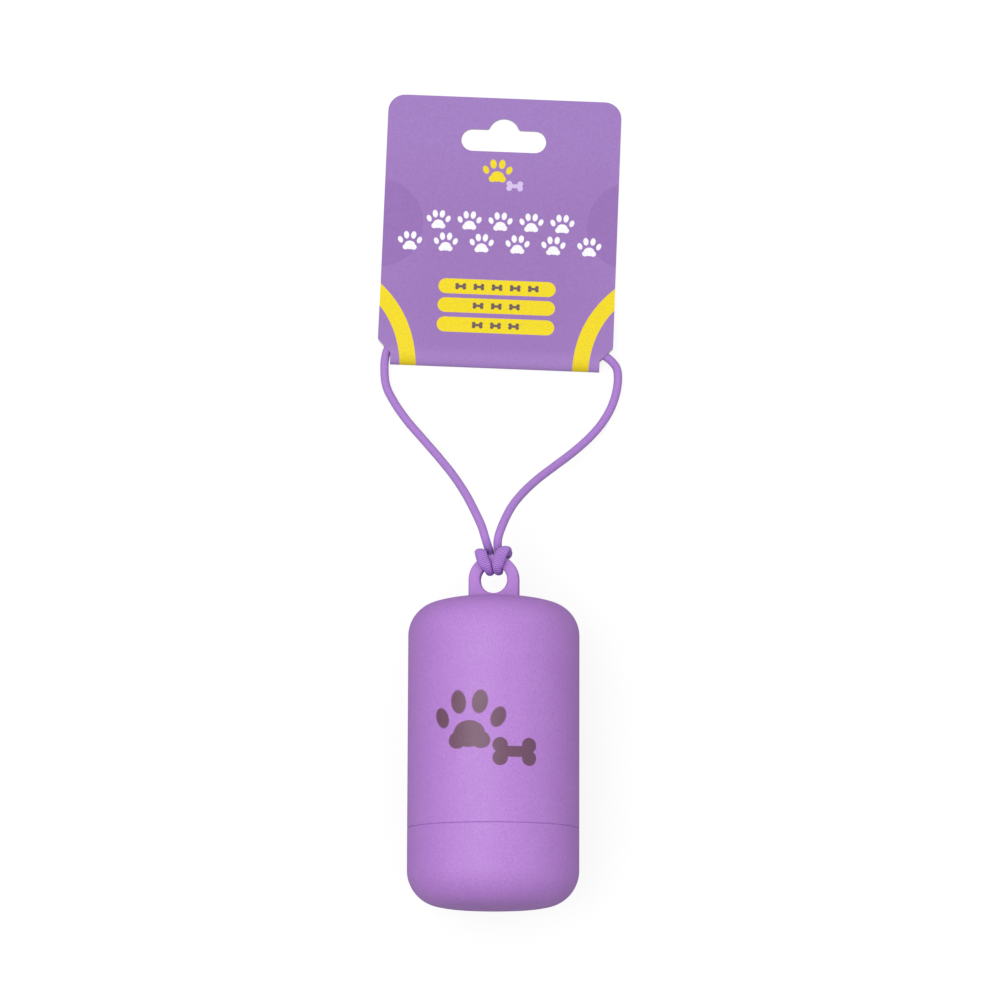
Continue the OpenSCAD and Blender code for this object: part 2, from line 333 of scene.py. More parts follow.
    def bar(
        self, chart: Socket, centre: Spot, length: float, height: float, soft: float = 0.06
    ) -> Socket:
        """Gives a bar with round ends.

        Args:
            chart: The chart.
            centre: The bar's centre.
            length: Its overall length.
            height: Its height.
            soft: Half the width over which its edge fades.

        Returns:
            The mask.
        """
        x, y, _ = self.parts(self.moved(chart, centre))
        beyond = self.calc("SUBTRACT", self.calc("ABSOLUTE", x), (length - height) / 2)
        away = self.length(self.joined(self.both(beyond, 0.0), y))
        return self.span(away, height / 2 + soft, height / 2 - soft)

    def paw(self, chart: Socket, size: float, soft: float = 0.03) -> Socket:
        """Gives a paw print about the chart's centre: a broad pad under four toes.

        Args:
            chart: The chart, already moved to the paw's middle.
            size: The paw's width.
            soft: Half the width over which its edge fades, as a share of the size.

        Returns:
            The mask.
        """
        pads = (
            ((0.0, -0.17), 0.0, (0.215, 0.175)),
            ((-0.15, -0.245), 20.0, (0.135, 0.115)),
            ((0.15, -0.245), -20.0, (0.135, 0.115)),
            ((-0.385, 0.045), 24.0, (0.095, 0.14)),
            ((-0.145, 0.245), 8.0, (0.105, 0.155)),
            ((0.145, 0.245), -8.0, (0.105, 0.155)),
            ((0.385, 0.045), -24.0, (0.095, 0.14)),
        )
        whole: Socket | None = None
        for (x, y), turn, (wide, high) in pads:
            spot = self.moved(chart, (x * size, y * size), turn, (wide * size, high * size))
            edge = soft / wide
            mask = self.span(self.length(spot), 1.0 + edge, 1.0 - edge)
            whole = mask if whole is None else self.both(whole, mask)
        return whole

    def bone(self, chart: Socket, length: float, soft: float = 0.05) -> Socket:
        """Gives a bone about the chart's centre: a bar with two knobs at each end.

        Args:
            chart: The chart, already moved to the bone's middle.
            length: The bone's length.
            soft: Half the width over which its edge fades.

        Returns:
            The mask.
        """
        knob, spread, shaft, thick = (share * length for share in (0.17, 0.14, 0.8, 0.24))
        whole = self.bar(chart, (0.0, 0.0), shaft, thick, soft)
        for side in (-1, 1):
            for up in (-1, 1):
                at = (side * (length / 2 - knob), up * spread)
                whole = self.both(whole, self.disc(chart, at, knob, soft))
        return whole


# ------------------------------------------------------------------ finishes


@dataclass(frozen=True)
class SoftSilicone:
    """Matt moulded silicone with a faint speckle, and a paw and a bone printed on it if they have a size.

    Attributes:
        paw_size: Width of the printed paw, or 0 for a part without a print.
        paw_at: The paw's middle, round the wall and up it.
        bone_length: Length of the printed bone.
        bone_at: The bone's middle.
        print_gloss: How much less rough the print is.
    """

    name: str = "soft_silicone"
    body: Tone = tone(184, 130, 212)
    speck: Tone = tone(165, 108, 197)
    ink: Tone = tone(94, 48, 76)
    paw_size: float = 0.0
    paw_at: Spot = (-3.6, 46.2)
    bone_length: float = 11.5
    bone_at: Spot = (8.2, 38.4)
    grain_scale: float = 2000.0
    grain_depth: float = 0.00003
    cloud_scale: float = 130.0
    cloud_depth: float = 0.00012
    wear_scale: float = 1500.0
    roughness: Spot = (0.52, 0.6)
    print_gloss: float = 0.12
    specular: float = 0.8

    def build(self) -> Material:
        """Builds the node tree.

        Returns:
            The material.
        """
        g = Graph(bpy.data.materials.new(self.name))
        at = g.object_place()
        grain = g.noise(at, self.grain_scale, 3.0, 0.65)
        cloud = g.noise(at, self.cloud_scale, 3.0, 0.5)
        color = g.mix(g.span(grain, 0.32, 0.7, 0.0, 0.9), self.body, self.speck)
        color = g.mix(g.span(cloud, 0.3, 0.75, 0.0, 0.25), color, self.speck)
        rough = g.span(cloud, 0.2, 0.8, *self.roughness)
        normal = g.bump(grain, self.grain_depth, 0.5, g.bump(cloud, self.cloud_depth, 0.25))
        if self.paw_size > 0:
            chart = g.chart_place("print")
            paw = g.paw(g.moved(chart, self.paw_at), self.paw_size, 0.008)
            bone = g.bone(g.moved(chart, self.bone_at), self.bone_length, 0.1)
            worn = g.span(g.noise(at, self.wear_scale, 3.0, 0.7), 0.25, 0.5, 0.86, 0.98)
            mask = g.times(g.both(paw, bone), worn)
            color = g.mix(mask, color, self.ink)
            rough = g.calc("SUBTRACT", rough, g.times(mask, self.print_gloss))
        return g.surface(
            Base_Color=color, Roughness=rough, Normal=normal, Specular_IOR_Level=self.specular
        )


@dataclass(frozen=True)
class BraidedElastic:
    """Woven cover of an elastic cord: two families of slanted ribs that cross, on the cord's own chart, with
    painted shade in the grooves between them.

    Attributes:
        rib: Pitch of the ribs along the cord.
        around: The way round the cord.
        turns: How many ribs lie side by side round it.
        open_slant: Slant of the strands where the braid is pulled open, as a share of the ribs' own.
    """

    name: str = "braided_elastic"
    crown: Tone = tone(192, 143, 228)
    # Painted shade: the tone of the grooves between the ribs
    valley_shade: Tone = tone(132, 84, 176)
    rib: float = 0.44
    around: float = 6.91
    turns: int = 8
    open_slant: float = 0.125
    fuzz_scale: float = 5200.0
    depth: float = 0.00014
    roughness: float = 0.62
    specular: float = 0.3

    def build(self) -> Material:
        """Builds the node tree.

        Returns:
            The material.
        """
        g = Graph(bpy.data.materials.new(self.name))
        along, across, _ = g.parts(g.chart_place("cord"))
        pull = g.parts(g.chart_place("pull"))[0]
        fuzz = g.noise(g.object_place(), self.fuzz_scale, 2.0, 0.7)
        ribs: list[Socket] = []
        for slant in (1.0, -1.0, self.open_slant):
            lean = g.times(across, slant * self.turns / self.around)
            phase = g.calc("ADD", g.calc("DIVIDE", along, self.rib), lean)
            ribs.append(g.calc("SINE", g.times(phase, 2 * math.pi)))
        weave = g.span(g.both(ribs[0], ribs[1]), -0.7, 1.0)
        closed = g.times(weave, g.calc("SUBTRACT", 1.0, pull))
        opened = g.times(g.span(ribs[2], -0.8, 0.8), pull)
        relief = g.calc("ADD", closed, opened)
        height = g.calc("ADD", g.times(relief, 0.85), g.times(fuzz, 0.3))
        light = g.calc("ADD", g.times(relief, 0.75), g.times(fuzz, 0.5))
        # Painted shade in the weave's grooves, deeper where the braid is pulled open; the fuzz also varies
        # the tone at random
        shade = g.times(g.span(light, 0.0, 1.0, 1.0, 0.0), g.span(pull, 0.0, 1.0, 0.75, 1.0))
        return g.surface(
            Base_Color=g.mix(shade, self.crown, self.valley_shade),
            Roughness=self.roughness,
            Normal=g.bump(height, self.depth, 0.9),
            Specular_IOR_Level=self.specular,
            Sheen_Weight=0.15,
            Sheen_Roughness=0.35,
        )


@dataclass(frozen=True)
class PlainBoard:
    """White card with a fine tooth: the sheet's inner side and its cut edges."""

    name: str = "plain_board"
    body: Tone = tone(233, 230, 234)
    fibre: Tone = tone(214, 209, 216)
    tooth_scale: float = 2600.0
    tooth_depth: float = 0.00002
    roughness: float = 0.8
    specular: float = 0.3

    def build(self) -> Material:
        """Builds the node tree.

        Returns:
            The material.
        """
        g = Graph(bpy.data.materials.new(self.name))
        tooth = g.noise(g.object_place(), self.tooth_scale, 4.0, 0.65)
        return g.surface(
            Base_Color=g.mix(g.span(tooth, 0.3, 0.75), self.body, self.fibre),
            Roughness=self.roughness,
            Normal=g.bump(tooth, self.tooth_depth, 0.6),
            Specular_IOR_Level=self.specular,
        )


@dataclass(frozen=True)
class PrintedBoard:
    """Satin printed face of the header card. Its chart is in millimetres from the middle of the fold.

    Attributes:
        bands: Each corner band's centre, across and up, and its inner and outer radius.
        half_discs_at: Centres of the faint discs that the card's sides cut in half.
        pill_rows: Heights of the pills.
        pill_middle: Their middle across the card.
        pill_size: Their length and height.
        pill_bones: How many bones each of them has.
        heading: Each row's height, its number of paws and their pitch.
        fold_highlight_reach: How far the painted highlight along the fold reaches up from it.
    """

    name: str = "printed_board"
    ground: Tone = tone(155, 118, 185)
    rim: Tone = tone(160, 124, 192)
    faint: Tone = tone(148, 109, 178)
    # Painted highlight: the lighter tone that the card takes near the fold, where its bulge faces the light
    fold_highlight: Tone = tone(194, 156, 226)
    yellow: Tone = tone(243, 219, 2)
    white: Tone = tone(250, 249, 251)
    pale: Tone = tone(214, 194, 236)
    dark: Tone = tone(98, 66, 120)
    ink: Tone = tone(80, 58, 88)
    bands: tuple[tuple[float, ...], ...] = ((-51.9, -1.5, 26.9, 31.15), (50.55, -0.35, 25.82, 30.1))
    half_discs_at: tuple[Spot, ...] = ((-32.35, 37.9), (34.8, 39.4))
    half_disc_radius: float = 11.9
    half_disc_strength: float = 0.75
    pill_rows: tuple[float, ...] = (21.6, 16.35, 10.95)
    pill_middle: float = -0.2
    pill_size: Spot = (31.0, 4.1)
    pill_bones: tuple[int, ...] = (5, 3, 3)
    pill_ink: float = 0.9
    bone_pitch: float = 4.8
    bone_length: float = 2.9
    heading: tuple[tuple[float, int, float], ...] = ((39.35, 5, 8.2), (33.35, 6, 9.5))
    heading_paw: float = 6.5
    mark_at: Spot = (-1.3, 53.0)
    mark_size: float = 8.0
    mark_bone_at: Spot = (3.4, 49.2)
    mark_bone: float = 4.4
    paw_soft: float = 0.012
    fold_highlight_reach: float = 6.0
    fold_highlight_strength: float = 0.7
    grain_scale: float = 1900.0
    grain_depth: float = 0.00001
    ripple_scale: float = 60.0
    ripple_depth: float = 0.0002
    roughness: Spot = (0.45, 0.55)
    specular: float = 0.22

    def build(self) -> Material:
        """Builds the node tree.

        Returns:
            The material.
        """
        g = Graph(bpy.data.materials.new(self.name))
        at = g.object_place()
        chart = g.chart_place("sheet")
        across, up, _ = g.parts(chart)
        sides = g.span(g.calc("ABSOLUTE", across), 16.0, 31.0, 0.0, 0.6)
        color = g.mix(g.both(sides, g.span(up, 38.0, 60.0)), self.ground, self.rim)
        # Painted highlight along the fold: the card is made lighter towards the crease, where its bulge
        # faces the light
        near_fold = g.span(g.calc("ABSOLUTE", up), self.fold_highlight_reach, 0.0)
        fold_light = g.times(g.calc("POWER", near_fold, 2.0), self.fold_highlight_strength)
        color = g.mix(fold_light, color, self.fold_highlight)
        color = self.side_discs(g, chart, color)
        color = self.corner_bands(g, chart, color)
        color = self.pills(g, chart, color)
        color = self.paw_rows(g, across, up, color)
        mark = g.paw(g.moved(chart, self.mark_at), self.mark_size, self.paw_soft)
        color = g.mix(mark, color, self.yellow)
        color = g.mix(g.bone(g.moved(chart, self.mark_bone_at), self.mark_bone), color, self.pale)
        grain = g.noise(at, self.grain_scale, 3.0, 0.65)
        ripple = g.noise(at, self.ripple_scale, 2.0, 0.4)
        return g.surface(
            Base_Color=g.mix(g.span(grain, 0.35, 0.75, 0.0, 0.2), color, self.dark),
            Roughness=g.span(grain, 0.2, 0.8, *self.roughness),
            Normal=g.bump(grain, self.grain_depth, 0.35, g.bump(ripple, self.ripple_depth, 0.15)),
            Specular_IOR_Level=self.specular,
        )

    def side_discs(self, g: Graph, chart: Socket, color: Socket) -> Socket:
        """Adds the faint half discs at the sides.

        Args:
            g: The material's node tree.
            chart: The sheet's chart.
            color: The colour so far.

        Returns:
            The colour with the half discs on it.
        """
        for centre in self.half_discs_at:
            disc = g.disc(chart, centre, self.half_disc_radius, 0.1)
            color = g.mix(g.times(disc, self.half_disc_strength), color, self.faint)
        return color

    def corner_bands(self, g: Graph, chart: Socket, color: Socket) -> Socket:
        """Adds the yellow bands round both lower corners.

        Args:
            g: The material's node tree.
            chart: The sheet's chart.
            color: The colour so far.

        Returns:
            The colour with the bands on it.
        """
        for x, y, inner, outer in self.bands:
            whole, middle = g.disc(chart, (x, y), outer), g.disc(chart, (x, y), inner)
            color = g.mix(g.calc("SUBTRACT", whole, middle, clamp=True), color, self.yellow)
        return color

    def pills(self, g: Graph, chart: Socket, color: Socket) -> Socket:
        """Adds the three yellow pills, each with a short row of bones.

        Args:
            g: The material's node tree.
            chart: The sheet's chart.
            color: The colour so far.

        Returns:
            The colour with the pills on it.
        """
        length, height = self.pill_size
        half = self.bone_pitch / 2
        for row, count in zip(self.pill_rows, self.pill_bones):
            centre = (self.pill_middle, row)
            color = g.mix(g.bar(chart, centre, length, height), color, self.yellow)
            x, y, _ = g.parts(g.moved(chart, centre))
            bones = g.bone(g.joined(g.calc("WRAP", x, half, -half), y), self.bone_length)
            inside = g.calc("LESS_THAN", g.calc("ABSOLUTE", x), half * count)
            near = g.calc("LESS_THAN", g.calc("ABSOLUTE", y), height / 2)
            mask = g.times(g.times(bones, inside), near)
            color = g.mix(g.times(mask, self.pill_ink), color, self.ink)
        return color

    def paw_rows(self, g: Graph, across: Socket, up: Socket, color: Socket) -> Socket:
        """Adds the heading: two rows of white paw prints, the lower one wider.

        Args:
            g: The material's node tree.
            across: The chart's place across the card.
            up: The chart's place up from the fold.
            color: The colour so far.

        Returns:
            The colour with the heading on it.
        """
        for row, count, pitch in self.heading:
            half = pitch / 2
            shift = 0.0 if count % 2 else half
            step = g.calc("WRAP", g.calc("SUBTRACT", across, shift), half, -half)
            paws = g.paw(g.joined(step, g.calc("SUBTRACT", up, row)), self.heading_paw, self.paw_soft)
            inside = g.calc("LESS_THAN", g.calc("ABSOLUTE", across), half * count)
            color = g.mix(g.times(paws, inside), color, self.white)
        return color


@dataclass(frozen=True)
class WoundFilm:
    """Thin waste-bag film wound tight: fine turns at the ends and faint creases round the outside.

    Attributes:
        crease_narrow: How much narrower the creases are along the roll than round it.
    """

    name: str = "wound_film"
    body: Tone = tone(222, 216, 230)
    fold: Tone = tone(186, 178, 198)
    crease_scale: float = 90.0
    crease_narrow: float = 7.0
    fine_scale: float = 2600.0
    depth: float = 0.0003
    roughness: float = 0.38
    specular: float = 0.45

    def build(self) -> Material:
        """Builds the node tree.

        Returns:
            The material.
        """
        g = Graph(bpy.data.materials.new(self.name))
        at = g.object_place()
        x, y, z = g.parts(at)
        crease = g.noise(g.joined(x, g.times(y, self.crease_narrow), z), self.crease_scale, 5.0, 0.6)
        fine = g.noise(at, self.fine_scale, 2.0, 0.5)
        height = g.calc("ADD", crease, g.times(fine, 0.15))
        return g.surface(
            Base_Color=g.mix(g.span(crease, 0.35, 0.7), self.body, self.fold),
            Roughness=self.roughness,
            Normal=g.bump(height, self.depth, 0.35),
            Specular_IOR_Level=self.specular,
        )


@dataclass(frozen=True)
class CoreBoard:
    """Brown spiral-wound board of the roll's core."""

    name: str = "core_board"
    body: Tone = tone(184, 154, 116)
    fleck: Tone = tone(144, 114, 80)
    fibre_scale: float = 1500.0
    fibre_depth: float = 0.00004
    roughness: float = 0.85
    specular: float = 0.25

    def build(self) -> Material:
        """Builds the node tree.

        Returns:
            The material.
        """
        g = Graph(bpy.data.materials.new(self.name))
        fibre = g.noise(g.object_place(), self.fibre_scale, 5.0, 0.7)
        return g.surface(
            Base_Color=g.mix(g.span(fibre, 0.4, 0.7), self.body, self.fleck),
            Roughness=self.roughness,
            Normal=g.bump(fibre, self.fibre_depth, 0.7),
            Specular_IOR_Level=self.specular,
        )


@dataclass(frozen=True)
class PaleFloor:
    """Plain pale floor that looks white and keeps a soft shadow: a diffuse part and a share that glows.

    Attributes:
        glow: The light that the floor gives of its own, as the camera sees it.
        share: How much of its diffuse light makes way for that.
    """

    name: str = "pale_floor"
    body: Tone = tone(148, 148, 148)
    glow: float = 0.83
    share: float = 0.35

    def build(self) -> Material:
        """Builds the node tree.

        Returns:
            The material.
        """
        g = Graph(bpy.data.materials.new(self.name))
        plain = g.add("ShaderNodeBsdfDiffuse", {"Color": self.body})
        light = g.add("ShaderNodeEmission", {"Color": WHITE, "Strength": self.glow / self.share})
        both = g.add("ShaderNodeMixShader", {0: self.share, 1: plain.outputs[0], 2: light.outputs[0]})
        direct = g.background_rays(GLOSSY_SHARE)
        shown = g.add("ShaderNodeMixShader", {0: direct, 1: plain.outputs[0], 2: both.outputs[0]})
        g.add("ShaderNodeOutputMaterial", {0: shown.outputs[0]})
        return g.owner


# ------------------------------------------------------------- mesh building


def rotated(degrees: float, axis: str) -> Matrix:
    """Gives a turn about one of the axes."""
    return Matrix.Rotation(math.radians(degrees), 4, axis)


def arc(centre: Spot, radius: float, start: float, end: float, steps: int) -> Section:
    """Points on a circle.

    Args:
        centre: The circle's centre.
        radius: Its radius.
        start: First angle in degrees.
        end: Last angle in degrees.
        steps: Number of steps between them.

    Returns:
        The points, both ends among them.
    """
    angles = [math.radians(start + (end - start) * i / steps) for i in range(steps + 1)]
    return [(centre[0] + radius * math.cos(a), centre[1] + radius * math.sin(a)) for a in angles]


def chart_faces(
    bm: Mesh, name: str, chart: Chart, faces: Sequence[bmesh.types.BMFace] | None = None
) -> None:
    """Writes a UV map from the places of the vertices.

    Args:
        bm: The mesh.
        name: The map's name.
        chart: Gives a place's UV.
        faces: The faces to write, or None for all.
    """
    layer = bm.loops.layers.uv.get(name) or bm.loops.layers.uv.new(name)
    for face in bm.faces if faces is None else faces:
        for loop in face.loops:
            loop[layer].uv = chart(loop.vert.co)


def wrapped_grid(
    bm: Mesh, rows: int, columns: int, place: Place, charts: dict[str, Chart] | None = None
) -> None:
    """Lays a flat grid over a surface that closes on itself from the last column to the first.

    Args:
        bm: The mesh to add it to.
        rows: Number of rows of vertices.
        columns: Number of columns round the surface.
        place: Gives the place of a row and a column.
        charts: The UV maps to write, each by name with what gives the UV of a row and a column.
    """
    made = bmesh.ops.create_grid(bm, x_segments=rows - 1, y_segments=columns, size=0.5)["verts"]
    spots = {v: (round((v.co.x + 0.5) * (rows - 1)), round((v.co.y + 0.5) * columns)) for v in made}
    if charts:
        for vert, (row, column) in spots.items():
            vert.co = Vector((row, column, 0.0))
        faces = list({f for v in made for f in v.link_faces})
        for name, chart in charts.items():
            chart_faces(bm, name, chart, faces)
    for vert, (row, column) in spots.items():
        vert.co = place(row, column % columns)


def spun(bm: Mesh, section: Section, steps: int) -> None:
    """Turns a section about the Z axis.

    Args:
        bm: The mesh to add it to.
        section: The section's points, as (radius, height).
        steps: Number of steps in a full turn.
    """
    verts = [bm.verts.new((r, 0.0, z)) for r, z in section]
    edges = [bm.edges.new(pair) for pair in zip(verts, verts[1:])]
    bmesh.ops.spin(
        bm, geom=verts + edges, cent=(0, 0, 0), axis=(0, 0, 1), dvec=(0, 0, 0), angle=2 * math.pi,
        steps=steps, use_merge=True, use_normal_flip=False, use_duplicate=False,
    )


def tidy(bm: Mesh) -> None:
    """Merges doubled vertices and turns every face outwards.

    Args:
        bm: The mesh.
    """
    bmesh.ops.remove_doubles(bm, verts=bm.verts, dist=MERGE)
    bmesh.ops.dissolve_degenerate(bm, edges=bm.edges, dist=MERGE)
    bmesh.ops.recalc_face_normals(bm, faces=bm.faces)


def make_piece(
    bm: Mesh, name: str, lay: Matrix, finishes: Sequence[Material], sharp: float = 38.0
) -> Piece:
    """Ends a mesh: lays it in the row's frame in metres, and gives it its finishes.

    Args:
        bm: The mesh in millimetres, in the part's own frame. It is freed.
        name: The piece's name.
        lay: The part's frame in the row's, in millimetres.
        finishes: Its materials, in the order of its faces' numbers.
        sharp: Least angle in degrees that is shaded as an edge.

    Returns:
        The piece, at the origin.
    """
    bm.transform(Matrix.Scale(MM, 4) @ lay)
    mesh = bpy.data.meshes.new(name)
    bm.to_mesh(mesh)
    bm.free()
    for finish in finishes:
        mesh.materials.append(finish)
    mesh.shade_smooth()
    mesh.set_sharp_from_angle(angle=math.radians(sharp))
    piece = bpy.data.objects.new(name, mesh)
    bpy.context.scene.collection.objects.link(piece)
    return piece


def report_piece(piece: Piece, *bodies: Body) -> None:
    """Logs a finished piece with its bodies and its number of faces."""
    carriers = " and ".join(body.value for body in bodies)
    LOG.info("%s rides on %s with %d faces", piece.name, carriers, len(piece.data.polygons))


# ------------------------------------------------------------------- capsule


@dataclass(frozen=True)
class Capsule:
    """Sizes that both shells share, and the frame of the standing capsule, whose front is -Y.

    Attributes:
        radius: Outer radius of the wall.
        height: Distance between the tips of both ends.
        wall: Thickness of the shells.
        seam: Height at which the shells meet.
        rim_round: Rounding of both rims at the seam.
        rim_band: Distance from the seam to the last ring of either wall.
        bore: Inner radius of the wall.
        top_end: Sizes of the top.
        base_end: Sizes of the base.
        lug_height: Height of the lug's centre.
        stand: Place of the base's tip in the row's frame.
        roll: Turn about the capsule's own axis, in degrees.
        around: Number of steps round the axis.
        dome_steps: Number of steps over an end's dome.
        round_steps: Number of steps over an end's rounding.
        least_step: Least distance from an end's first point to its second.
    """

    radius: float = 22.0
    height: float = 80.0
    wall: float = 2.4
    seam: float = 20.6
    rim_round: float = 0.25
    rim_band: float = 1.0
    bore: float = 19.6
    top_end: End = (5.5, 16.5, 8.8)
    base_end: End = (7.6, 12.5, 9.4)
    lug_height: float = 84.7
    stand: Triple = (-1.2, -108.6, 22.0)
    roll: float = 7.0
    around: int = 112
    dome_steps: int = 10
    round_steps: int = 18
    least_step: float = 0.3

    def lay(self) -> Matrix:
        """Gives the capsule's frame in the row's, in millimetres."""
        return Matrix.Translation(self.stand) @ (rotated(-self.roll, "Y") @ rotated(-90, "X"))

    def dome(self, radius: float, end: End) -> float:
        """Gives the radius of an end's dome, which runs from its flat to its rounding.

        Args:
            radius: The wall's radius.
            end: The end's sizes.

        Returns:
            The dome's radius.
        """
        flat, slope, rounding = end
        sine = math.sin(math.radians(slope))
        return (radius - flat - rounding * (1 - sine)) / sine

    def end_depth(self, at: float, radius: float, end: End) -> float:
        """Gives how far a domed end has dropped at a distance from the axis, short of its rounding.

        Args:
            at: Distance from the axis.
            radius: The wall's radius.
            end: The end's sizes.

        Returns:
            The drop below the tip.
        """
        flat, slope, _ = end
        dome = self.dome(radius, end)
        reach = max(0.0, min(at - flat, dome * math.sin(math.radians(slope))))
        return dome - math.sqrt(dome * dome - reach * reach)

    def end_section(self, radius: float, end: End) -> Section:
        """Gives half of a domed end, from its flat to its wall.

        Args:
            radius: The wall's radius.
            end: The end's sizes.

        Returns:
            Points as (radius, drop below the tip).
        """
        flat, slope, rounding = end
        lean = math.radians(slope)
        dome = self.dome(radius, end)
        depth = dome * (1 - math.cos(lean)) + rounding * math.cos(lean)
        points: Section = []
        for i in range(self.dome_steps + 1):
            a = lean * i / self.dome_steps
            points.append((flat + dome * math.sin(a), dome * (1 - math.cos(a))))
        for i in range(1, self.round_steps + 1):
            a = lean + (math.pi / 2 - lean) * i / self.round_steps
            points.append((radius - rounding + rounding * math.sin(a), depth - rounding * math.cos(a)))
        return points

    def outside(self, least: float, end: End) -> Section:
        """Gives the outside of an end, up to the wall.

        Args:
            least: The radius that it starts from.
            end: The end's sizes.

        Returns:
            Points as (radius, drop below the tip).
        """
        curve = self.end_section(self.radius, end)
        start = (least, self.end_depth(least, self.radius, end))
        return [start] + [(r, d) for r, d in curve if r > least + self.least_step]

    def top_inside(self) -> Section:
        """Gives the inside of the top, from the wall to the axis.

        Returns:
            Points as (radius, height).
        """
        flat, slope, rounding = self.top_end
        curve = self.end_section(self.bore, (flat, slope, rounding - self.wall))
        ceiling = self.height - self.wall
        return [(r, ceiling - d) for r, d in reversed(curve)] + [(0.0, ceiling)]

    def base_inside(self, least: float) -> Section:
        """Gives the inside of the base, from the wall inwards.

        Args:
            least: The radius that it stops at.

        Returns:
            Points as (radius, height).
        """
        flat, slope, rounding = self.base_end
        curve = self.end_section(self.bore, (flat, slope, rounding - self.wall))
        return [(r, self.wall + d) for r, d in reversed(curve) if r > least]


@dataclass
class UpperShell:
    """Upper shell: domed top with a lug on a flared foot, and a ribbed neck that grips the cup.

    Attributes:
        crown_radius: Radius of the top's middle, which is not part of the turned section.
        neck_radius: Outer radius of the neck.
        neck_bore: Inner radius of the neck.
        neck_foot: Height of the neck's lower edge.
        neck_lead: Depth and height of the lead-in outside that edge.
        neck_edge: Chamfer inside that edge.
        neck_break: Chamfer between the neck and the seam.
        rib_tip: Radius of the ribs' crests.
        rib_heights: Heights of the ribs.
        step: Heights between which the neck's bore widens into the shell's.
        lug_half: Half of the lug's width and thickness.
        lug_root: How far the lug reaches below its centre.
        lug_edge: Rounding of the lug's edges.
        foot_round: Rounding between the crown and the lug.
        foot_lap: How far inside the lug that rounding ends.
    """

    capsule: Capsule
    finish: Material
    crown_radius: float = 11.0
    neck_radius: float = 19.4
    neck_bore: float = 17.8
    neck_foot: float = 13.6
    neck_lead: float = 0.5
    neck_edge: float = 0.2
    neck_break: float = 0.15
    rib_tip: float = 19.58
    rib_heights: tuple[float, ...] = (15.933, 18.267)
    rib_width: float = 1.0
    step: Spot = (23.1, 26.1)
    lug_half: Spot = (6.5, 1.5)
    lug_root: float = 6.6
    lug_edge: float = 0.5
    foot_round: float = 0.7
    foot_lap: float = 0.02
    hole_radius: float = 3.5
    hole_points: int = 96

    def section(self) -> Section:
        """Gives the turned section, from the crown down the outside, up the bore and to the axis.

        Returns:
            Points as (radius, height).
        """
        c = self.capsule
        points = [(r, c.height - d) for r, d in c.outside(self.crown_radius, c.top_end)]
        top, steps = points[-1][1], 12
        points += [(c.radius, top + (c.seam + c.rim_band - top) * i / steps) for i in range(1, steps + 1)]
        points += arc((c.radius - c.rim_round, c.seam + c.rim_round), c.rim_round, 0, -90, 4)
        points += self.neck() + [(self.neck_bore, self.step[0]), (c.bore, self.step[1])]
        return points + c.top_inside()

    def neck(self) -> Section:
        """Gives the neck's part of the section, from the seam down over the ribs to the bore.

        Returns:
            Points as (radius, height).
        """
        radius, bore, foot = self.neck_radius, self.neck_bore, self.neck_foot
        lead, edge, chamfer = self.neck_lead, self.neck_edge, self.neck_break
        points = [(radius + chamfer, self.capsule.seam), (radius, self.capsule.seam - chamfer)]
        steps = 4
        for height in reversed(self.rib_heights):
            for i in range(-steps, steps + 1):
                lift = (self.rib_tip - radius) * 0.5 * (1 + math.cos(math.pi * i / steps))
                points.append((radius + lift, height - self.rib_width / 2 * i / steps))
        points += [(radius, foot + lead), (radius - chamfer, foot + edge), (radius - lead, foot)]
        return points + [(bore + edge, foot), (bore, foot + edge)]

    def foot_reach(self, angle: float, offset: float) -> float:
        """Gives how far the lug's foot, grown by an offset, reaches from the axis.

        Args:
            angle: Direction about the axis in radians.
            offset: How much the outline is grown.

        Returns:
            The distance along that direction.
        """
        half_x, half_y = (half - self.lug_edge for half in self.lug_half)
        near, far = 0.0, self.crown_radius
        for _ in range(BISECTIONS):
            reach = (near + far) / 2
            x, y = abs(reach * math.cos(angle)) - half_x, abs(reach * math.sin(angle)) - half_y
            away = math.hypot(max(x, 0), max(y, 0)) + min(max(x, y), 0) - self.lug_edge
            near, far = (reach, far) if away < offset else (near, reach)
        return near

    def add_crown(self, bm: Mesh) -> None:
        """Adds the middle of the top, which rises into the lug through a small rounding.

        Args:
            bm: The shell's mesh.
        """
        c = self.capsule
        spread, rounding = 8, 6

        def place(row: int, column: int) -> Vector:
            """Gives a place on the crown.

            Args:
                row: The row, from the crown's edge up to the lug.
                column: The column round the axis.

            Returns:
                The place.
            """
            angle = 2 * math.pi * column / c.around
            if row <= spread:
                inner = self.foot_reach(angle, self.foot_round)
                reach = self.crown_radius + (inner - self.crown_radius) * row / spread
                rise = 0.0
            else:
                turn = math.pi / 2 * (row - spread) / rounding
                reach = self.foot_reach(angle, self.foot_round * (1 - math.sin(turn)) - self.foot_lap)
                rise = self.foot_round * (1 - math.cos(turn))
            height = c.height - c.end_depth(reach, c.radius, c.top_end) + rise
            return Vector((reach * math.cos(angle), reach * math.sin(angle), height))

        wrapped_grid(bm, spread + rounding + 1, c.around, place)
        bmesh.ops.remove_doubles(bm, verts=bm.verts, dist=MERGE)
        above = c.height + self.foot_round / 2
        rim = [e for e in bm.edges if e.is_boundary and min(v.co.z for v in e.verts) > above]
        bmesh.ops.contextual_create(bm, geom=rim)

    def lug(self) -> Mesh:
        """Gives the lug as a closed plate, round above and square below, with a rounded hole.

        Returns:
            The plate's mesh, standing in the capsule's frame.
        """
        bm = bmesh.new()
        half, deep = self.lug_half
        bmesh.ops.create_circle(bm, segments=self.hole_points, radius=self.hole_radius)
        outline = bmesh.ops.create_circle(bm, segments=self.hole_points, radius=half)["verts"]
        for vert in outline:
            if vert.co.y < 0:
